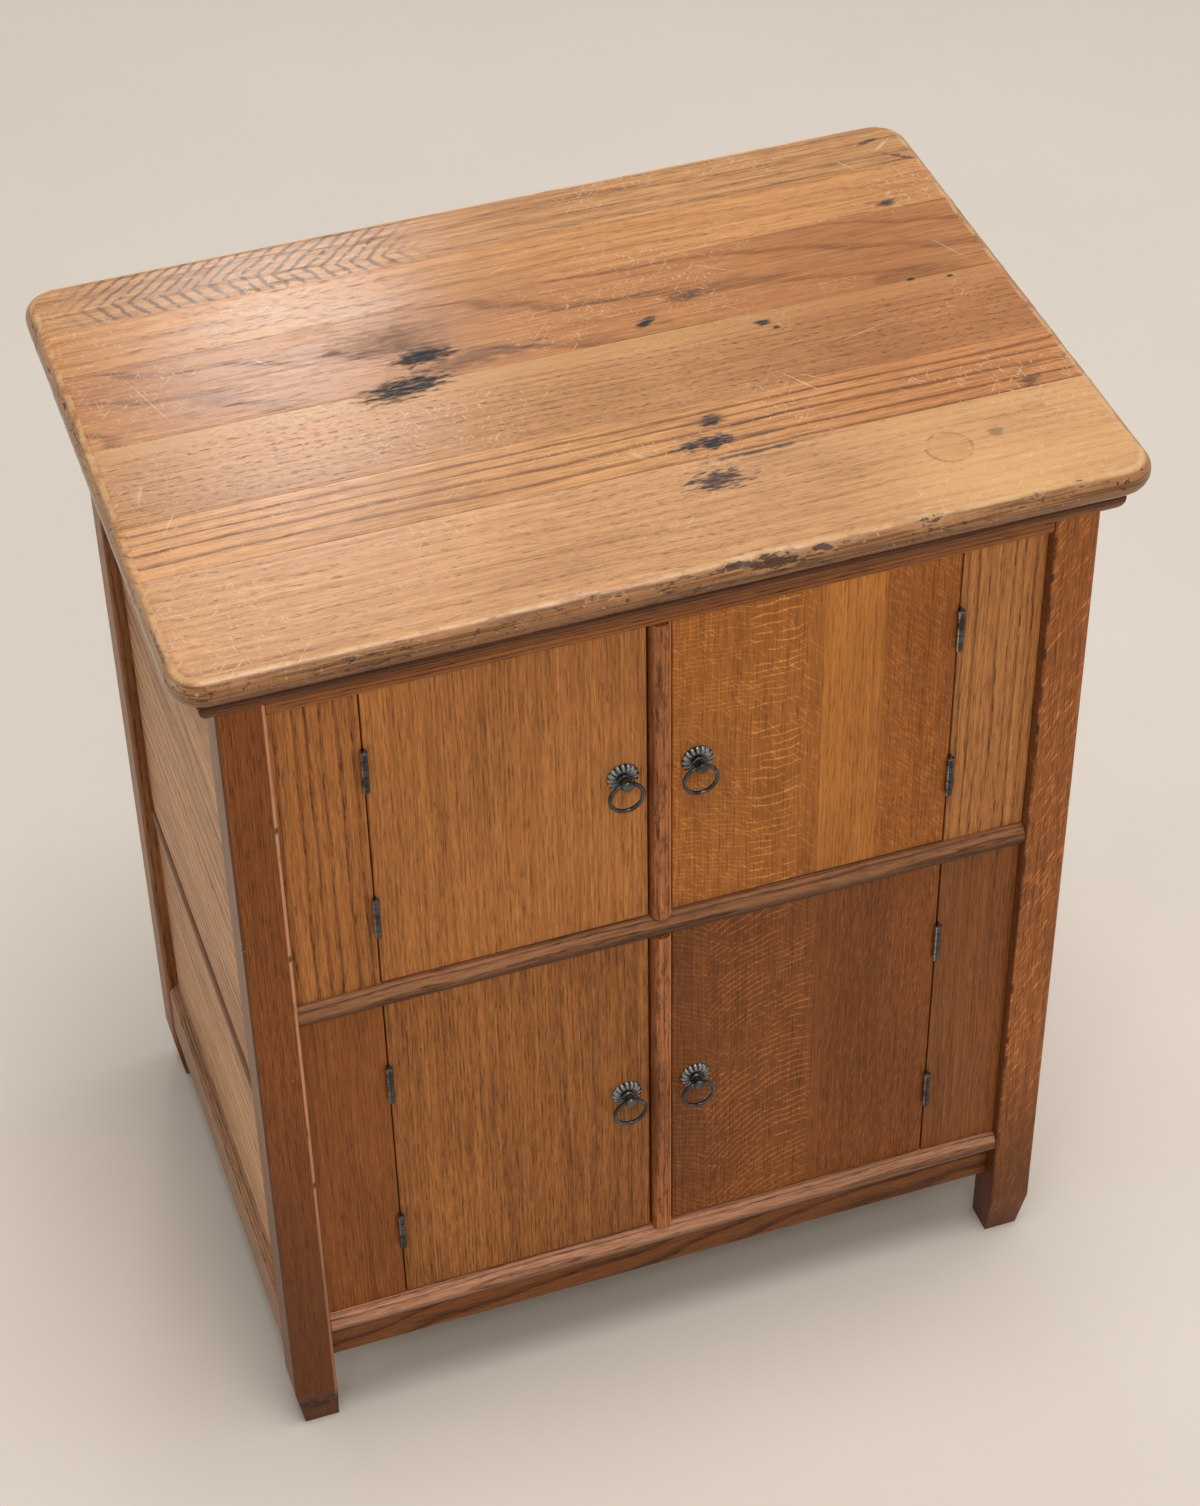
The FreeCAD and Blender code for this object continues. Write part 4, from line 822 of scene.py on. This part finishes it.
# Chips along the top's edge: place, reach and depth
CHIPS = (
    (-67, -252, 852, 9, 1.3), (-48, -252, 850, 8, 1.3), (40, -252, 851, 16, 1.5), (66, -252, 848, 24, 2.2),
    (103, -252, 850, 12, 1.3), (124, -252, 851, 12, 0.9), (255, -252, 846, 9, 1.0), (266, -252, 852, 12, 1.0),
    (300, -252, 852, 14, 0.9), (-177, -252, 852, 10, 0.6), (-121, -252, 847, 10, 0.7),
    (-240, -252, 850, 10, 0.5), (-317, -252, 851, 9, 0.6), (180, -252, 851, 22, 0.8),
    (215, -252, 848, 12, 0.6),
    (-365, 150, 848, 12, 1.6), (-365, 96, 850, 10, 1.3), (-365, 196, 846, 9, 1.2), (-365, 30, 849, 8, 1.0),
    (-365, -60, 850, 9, 0.9), (-365, -150, 849, 10, 0.8), (365, 120, 850, 9, 1.0), (365, -40, 848, 8, 0.9),
)


def chipped(spot):
    """The depth of the chips at a place on the top's edge, in millimetres."""
    deepest = 0.0
    for x, y, z, reach, deep in CHIPS:
        away = math.hypot((spot.x - x) / reach, (spot.y - y) / reach, (spot.z - z) / (reach * 0.28))
        if away < 1.0:
            deepest = max(deepest, deep * (1.0 - away) ** 0.6)
    return deepest


def seam_arris(a, b):
    return abs(a.y - b.y) < 0.2 and min(a.z, b.z) > TOP_FACE - 0.5


def worn_board(number):
    """A board of the top: its outer edge is worn and chipped, and its seams are eased."""
    name = f"top_board_{number}"
    made = copied(name)
    sliced(made, "Y", 5.0)
    if number in (1, 6):
        sliced(made, "X", 3.0 if number == 6 else 9.0)
    made.normal_update()
    chip = made.verts.layers.float.new("chip")
    seams = [seam for seam in TOP_SEAMS[number - 1:number + 1] if seam in TOP_SEAMS[1:-1]]
    moves = []
    for vert in made.verts:
        spot = vert.co / MM
        on_edge = TOP_UNDERSIDE + 0.02 <= spot.z <= TOP_FACE - 0.02 and abs(vert.normal.z) <= 0.995
        if not on_edge or any(abs(spot.y - seam) < 0.4 for seam in seams):
            continue
        depth = 0.22 * (1.0 + noise.noise(vert.co * 70.0))
        depth += 0.9 * max(0.0, noise.noise(vert.co * 38.0 + Vector((9.0, 2.0, 5.0))) - 0.28)
        gouge = chipped(spot) * (0.75 + 0.5 * noise.noise(vert.co * 220.0))
        moves.append((vert, vert.normal * (depth + gouge) * MM, min(1.0, gouge / 0.9)))
    for vert, move, share in moves:
        vert.co -= move
        vert[chip] = share
    soften(made, sharp_edges(made, seam_arris), 0.45, 0.1, number)
    piece(f"worn_{name}", made, "carcass", TOP[number], (name,), 40.0)


for number in TOP:
    worn_board(number)

# The moulding under the top and the back of its frame
softened("top_moulding_front", MOULDING_OAK, 0.7, 0.3, "X", 14.0, 1.0)
for side in ("left", "right"):
    softened(f"top_moulding_{side}", MOULDING_SIDE_OAK, 0.7, 0.3, "Y", 14.0, 2.0)
softened("top_frame_back", INNER_LONG, 0.8, 0.2)


# Posts
def inner_arris(a, b):
    """The front left post's upright arris beside the panels."""
    return max(a.y, b.y) < -222.9 and min(a.x, b.x) > -297.1 and abs(a.z - b.z) > 0.5


softened("post_front_left", LEFT_POST_OAK, 1.5, 0.5, "Z", 9.0, 4.0, (inner_arris, 2.2, 1.2))
softened("post_front_right", RIGHT_POST_OAK, 1.1, 0.6, "Z", 9.0, 5.0)
for side in ("left", "right"):
    softened(f"post_back_{side}", BACK_POST_OAK, 1.2, 0.4, "Z", 14.0, 6.0)

# The front
softened("front_top_rail", TOP_RAIL_OAK, 0.7, 0.3, "X", 14.0, 7.0)
softened("front_mid_rail", RAIL_OAK, 0.7, 0.4, "X", 10.0, 8.0)
softened("front_bottom_rail", LOW_RAIL_OAK, 0.7, 0.4, "X", 10.0, 9.0)
softened("front_apron", APRON_OAK, 0.9, 0.5, "X", 12.0, 10.0)
softened("centre_beads", BEAD_OAK, 0.8, 0.4, "Z", 10.0, 11.0)
softened("centre_stile", STILE_OAK, 0.6, 0.2)
for door in DOORS:
    softened(f"fixed_panel_{door}", PANEL_OAK[door], 0.5, 0.2, seed=12.0)
    softened(f"door_{door}", DOOR_OAK[door], 0.6, 0.25, seed=13.0)

# Sides, back and inside
for side in ("left", "right"):
    softened(f"side_rails_{side}", SIDE_RAIL_OAK, 0.9, 0.5, "Y", 12.0, 14.0)
    softened(f"side_panels_{side}", SIDE_OAK, 0.5, 0.2)
softened("back_boards", INNER_UP, 0.9, 0.3)
softened("back_rails", INNER_LONG, 0.9, 0.3)
for name in ("cabinet_floor", "middle_shelf", "glue_blocks"):
    softened(name, INNER_LONG, 0.8, 0.2)
softened("cleats", INNER_DEEP, 0.8, 0.2)

# Pulls and screws: half sections as radius and height, from the hole outwards
PETALS = 16
ROSETTE = (
    (2.7, 0.0), (2.7, 4.5), (4.6, 4.5), (5.1, 3.8), (6.2, 3.7), (7.6, 3.8),
    (9.2, 3.6), (10.6, 3.1), (11.7, 2.4), (12.5, 1.6), (12.95, 0.8), (12.9, 0.05),
)
PETALS_START = 5.1
PETALS_REACH = 7.85
BOSS_FRONT = -226.8
WASHER = ((2.1, 0.0), (2.1, 0.7), (5.0, 0.7), (5.3, 0.4), (5.3, 0.0))
NUT = ((2.1, 0.7), (2.1, 3.0), (2.5, 3.3), (3.2, 3.3), (3.6, 2.9), (3.6, 0.7))
NUT_CORNERS = 6
NUT_FLATS = 3.3
SCREW_RADIUS = 2.5
SCREW_PROUD = 0.06
SCREW_DEPTH = -206.2
SCREW_STEPS = (-12.0, 0.0, 12.0)
SLOT_HALF = 0.28
LEAF_FACE = 0.12


def turn_about(made, axis, angle):
    turn = Matrix.Rotation(math.radians(angle), 3, axis)
    bmesh.ops.rotate(made, cent=(0, 0, 0), matrix=turn, verts=made.verts)


def move_to(made, across, depth, level):
    bmesh.ops.translate(made, vec=(across * MM, depth * MM, level * MM), verts=made.verts)


def spun(profile, steps):
    """A ring spun about the upright from its half section."""
    made = bmesh.new()
    line = [made.verts.new((radius * MM, 0.0, height * MM)) for radius, height in profile]
    edges = [made.edges.new(pair) for pair in zip(line, line[1:] + line[:1])]
    bmesh.ops.spin(
        made, geom=line + edges, cent=(0, 0, 0), axis=(0, 0, 1), angle=math.tau, steps=steps, use_merge=True,
    )
    bmesh.ops.remove_doubles(made, verts=made.verts, dist=0.001 * MM)
    bmesh.ops.recalc_face_normals(made, faces=made.faces)
    return made


def widen(vert, factor):
    vert.co.x *= factor
    vert.co.y *= factor


def rosette(door, across, level):
    """A pull's rosette, with rounded petals and a scalloped rim."""
    made = spun(ROSETTE, PETALS * 10)
    wear = made.verts.layers.float.new("wear")
    for vert in made.verts:
        reach, height = math.hypot(vert.co.x, vert.co.y) / MM, vert.co.z / MM
        valley = 1.0 - abs(math.cos(math.atan2(vert.co.y, vert.co.x) * PETALS / 2)) ** 0.8
        outer = max(0.0, (reach - PETALS_START) / PETALS_REACH)
        vert.co.z = max(min(height, 0.05), height - 1.5 * valley * outer ** 0.7) * MM
        # the petals' outer crests, marked as worn and painted pale as highlights too
        vert[wear] = max(0.0, 1.0 - 2.2 * valley) * min(1.0, outer * 2.0)
        widen(vert, 1.0 - 0.075 * valley * outer ** 3)
    turn_about(made, "X", 90)
    move_to(made, across, DOOR_FACE, level)
    piece(f"petal_rosette_{door}", made, f"door_{door}", IRON, (f"pull_rosette_{door}",), 50.0)


def boss(door):
    """A pull's boss with its front end rounded over."""
    name = f"pull_boss_{door}"
    made = copied(name)
    rounded(made, sharp_edges(made, lambda a, b: max(a.y, b.y) < BOSS_FRONT), 1.5, 5)
    piece(f"rounded_boss_{door}", made, NODES[name]["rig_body"], IRON, (name,), 40.0)


def fastening(door, across, level):
    """The washer and the six-sided nut on the shank, inside the door."""
    washer, nut = spun(WASHER, 40), spun(NUT, 48)
    for vert in nut.verts:
        if math.hypot(vert.co.x, vert.co.y) > NUT_FLATS * MM:
            away = math.atan2(vert.co.y, vert.co.x) % (math.tau / NUT_CORNERS) - math.pi / NUT_CORNERS
            widen(vert, 1.0 / math.cos(away))
    for name, made in (("washer", washer), ("nut", nut)):
        turn_about(made, "X", -90)
        move_to(made, across, DOOR_BACK, level)
        piece(f"{name}_{door}", made, f"door_{door}", SCREW_STEEL, (), 30.0)


def screw_head(turn):
    """A slotted screw head as a mesh, turned and then set upright."""
    head = bmesh.new()
    bmesh.ops.create_circle(head, cap_ends=True, segments=32, radius=SCREW_RADIUS * MM)
    for off in (-SLOT_HALF, SLOT_HALF):
        cut_across(head, (0, off * MM, 0), (0, 1, 0))
    middle = [face for face in head.faces if abs(face.calc_center_median().y) < 0.2 * MM]
    bmesh.ops.delete(head, geom=middle, context="FACES")
    bmesh.ops.solidify(head, geom=head.faces[:], thickness=SCREW_PROUD * MM)
    bmesh.ops.recalc_face_normals(head, faces=head.faces)
    turn_about(head, "Z", turn)
    turn_about(head, "Y", 90)
    return head


def screws(name, body, across, levels):
    """A row of screw heads, just proud of the hinge leaves."""
    made = bmesh.new()
    for number, level in enumerate(levels):
        head = screw_head(20 + 50 * number)
        move_to(head, across, SCREW_DEPTH, level)
        mesh = bpy.data.meshes.new("head")
        head.to_mesh(mesh)
        head.free()
        made.from_mesh(mesh)
        bpy.data.meshes.remove(mesh)
    piece(name, made, body, SCREW_STEEL, (), 30.0)


for door in DOORS:
    row, hand = door.split("_")
    pull = (PULL_ACROSS[hand], PULL_LEVEL[row])
    rosette(door, *pull)
    boss(door)
    fastening(door, *pull)
    side = -1 if hand == "left" else 1
    levels = [level + step for level in HINGE_LEVELS[row] for step in SCREW_STEPS]
    screws(f"door_screws_{door}", f"door_{door}", side * (HINGE_AXIS - LEAF_FACE), levels)
    screws(f"panel_screws_{door}", "carcass", side * (HINGE_AXIS + LEAF_FACE), levels)

# Metalwork that shows its own solid; the rosettes' and bosses' solids are hidden by the pieces above
for name in NODES:
    if name.startswith("hinge_"):
        dressed(name, STEEL)
    elif name.startswith("pull_"):
        dressed(name, IRON)
    elif name.startswith("ball_catch"):
        dressed(name, BRASS)


# Floor, light and camera, in metres and degrees
BACKDROP = (0.66, 0.59, 0.505, 1.0)
FLOOR_HALF = 30.0
FLOOR_FADE = (2.4, 4.6)
CAMERA_PLACE = (-0.6290, -1.9604, 2.3335)
CAMERA_TURN = (18.256, -42.053, -1.082)
CAMERA_LENS = 81.12
MIDDLE = (0.0, 0.0, 0.7)
FRONT = (0.0, -0.2, 0.6)
# Lamps: name, place, what it points at, size, power, tone
LAMPS = (
    ("overhead", (0.3, -0.7, 7.0), (0.0, -0.3, 0.0), 3.2, 210.0, (1.0, 0.97, 0.94)),
    ("back_window", (0.25, 2.19, 2.34), MIDDLE, 0.4, 5.3, (1.0, 0.98, 0.97)),
    ("right_window", (2.4, 0.4, 2.8), MIDDLE, 1.8, 9.0, (1.0, 0.96, 0.91)),
    ("front_fill", (0.3, -2.8, 3.1), FRONT, 2.4, 23.0, (1.0, 0.95, 0.89)),
    ("key_spark", (-1.3, -1.9, 2.6), FRONT, 0.25, 2.4, (1.0, 0.97, 0.94)),
    ("left_fill", (-3.2, 0.2, 1.6), (-0.3, 0.0, 0.5), 1.8, 12.0, (1.0, 0.96, 0.92)),
)


def looked_at(tree):
    """1 where the eye, a reflection or clear glass meets the backdrop, 0 for its light."""
    path = tree.nodes.new("ShaderNodeLightPath").outputs
    found = path["Is Camera Ray"]
    for kind in ("Is Glossy Ray", "Is Transmission Ray"):
        either = tree.nodes.new("ShaderNodeMath")
        either.operation = "MAXIMUM"
        tree.links.new(found, either.inputs[0])
        tree.links.new(path[kind], either.inputs[1])
        found = either.outputs[0]
    return found


def floor():
    """A pale floor that runs into the backdrop far from the cupboard, without lighting anything there."""
    made = bmesh.new()
    bmesh.ops.create_grid(made, x_segments=2, y_segments=2, size=FLOOR_HALF)
    mesh = bpy.data.meshes.new("floor")
    made.to_mesh(mesh)
    made.free()
    paper = Finish("floor_paper", 0.2)
    cloud = paper.noise(paper.place, 3.0, 4.0, 0.55)
    paper.colour = paper.mix(cloud, (0.79, 0.735, 0.665, 1.0), (0.85, 0.80, 0.735, 1.0))
    paper.rough = 0.85
    mesh.materials.append(paper.close())
    reach = paper.add("VectorMath", {0: paper.place}, operation="LENGTH").outputs["Value"]
    glow = paper.add("Emission", {"Color": BACKDROP, "Strength": 1.0}).outputs[0]
    far = paper.times(paper.step(reach, *FLOOR_FADE), looked_at(paper.tree))
    blend = paper.add("MixShader", {0: far, 1: paper.shader.outputs[0], 2: glow}).outputs[0]
    paper.join(paper.tree.nodes["Material Output"].inputs["Surface"], blend)
    item = linked("floor", mesh)


def lamp(name, place, target, size, power, tone):
    made = bpy.data.lights.new(name, "AREA")
    made.shape = "DISK"
    made.size = size
    made.energy = power
    made.color = tone
    item = linked(name, made)
    item.location = place
    item.rotation_euler = (Vector(target) - Vector(place)).to_track_quat("-Z", "Y").to_euler()


def sky():
    """A dim even light from all round, with the pale backdrop where it is looked at."""
    world = bpy.data.worlds.new("pale_room")
    world.use_nodes = True
    tree = world.node_tree
    light = tree.nodes["Background"]
    light.inputs["Color"].default_value = (1.0, 0.95, 0.89, 1.0)
    light.inputs["Strength"].default_value = 0.32
    pale = tree.nodes.new("ShaderNodeBackground")
    pale.inputs["Color"].default_value = BACKDROP
    blend = tree.nodes.new("ShaderNodeMixShader")
    for number, source in enumerate((looked_at(tree), light.outputs[0], pale.outputs[0])):
        tree.links.new(source, blend.inputs[number])
    tree.links.new(blend.outputs[0], tree.nodes["World Output"].inputs["Surface"])
    bpy.context.scene.world = world


def camera():
    """The camera that the photo was taken with, from its place, turn and lens."""
    yaw, pitch, roll = (math.radians(angle) for angle in CAMERA_TURN)
    ahead = Vector((math.sin(yaw) * math.cos(pitch), math.cos(yaw) * math.cos(pitch), math.sin(pitch)))
    level = Vector((math.cos(yaw), -math.sin(yaw), 0.0))
    above = level.cross(ahead)
    right = math.cos(roll) * level + math.sin(roll) * above
    up = -math.sin(roll) * level + math.cos(roll) * above
    made = bpy.data.cameras.new("photo_camera")
    made.sensor_width = 36.0
    made.lens = CAMERA_LENS
    item = linked("photo_camera", made)
    turn = Matrix((right, up, -ahead)).transposed().to_4x4()
    item.matrix_world = Matrix.Translation(CAMERA_PLACE) @ turn
    bpy.context.scene.camera = item


floor()
sky()
camera()
for row in LAMPS:
    lamp(*row)
bpy.context.scene.view_settings.view_transform = "Standard"
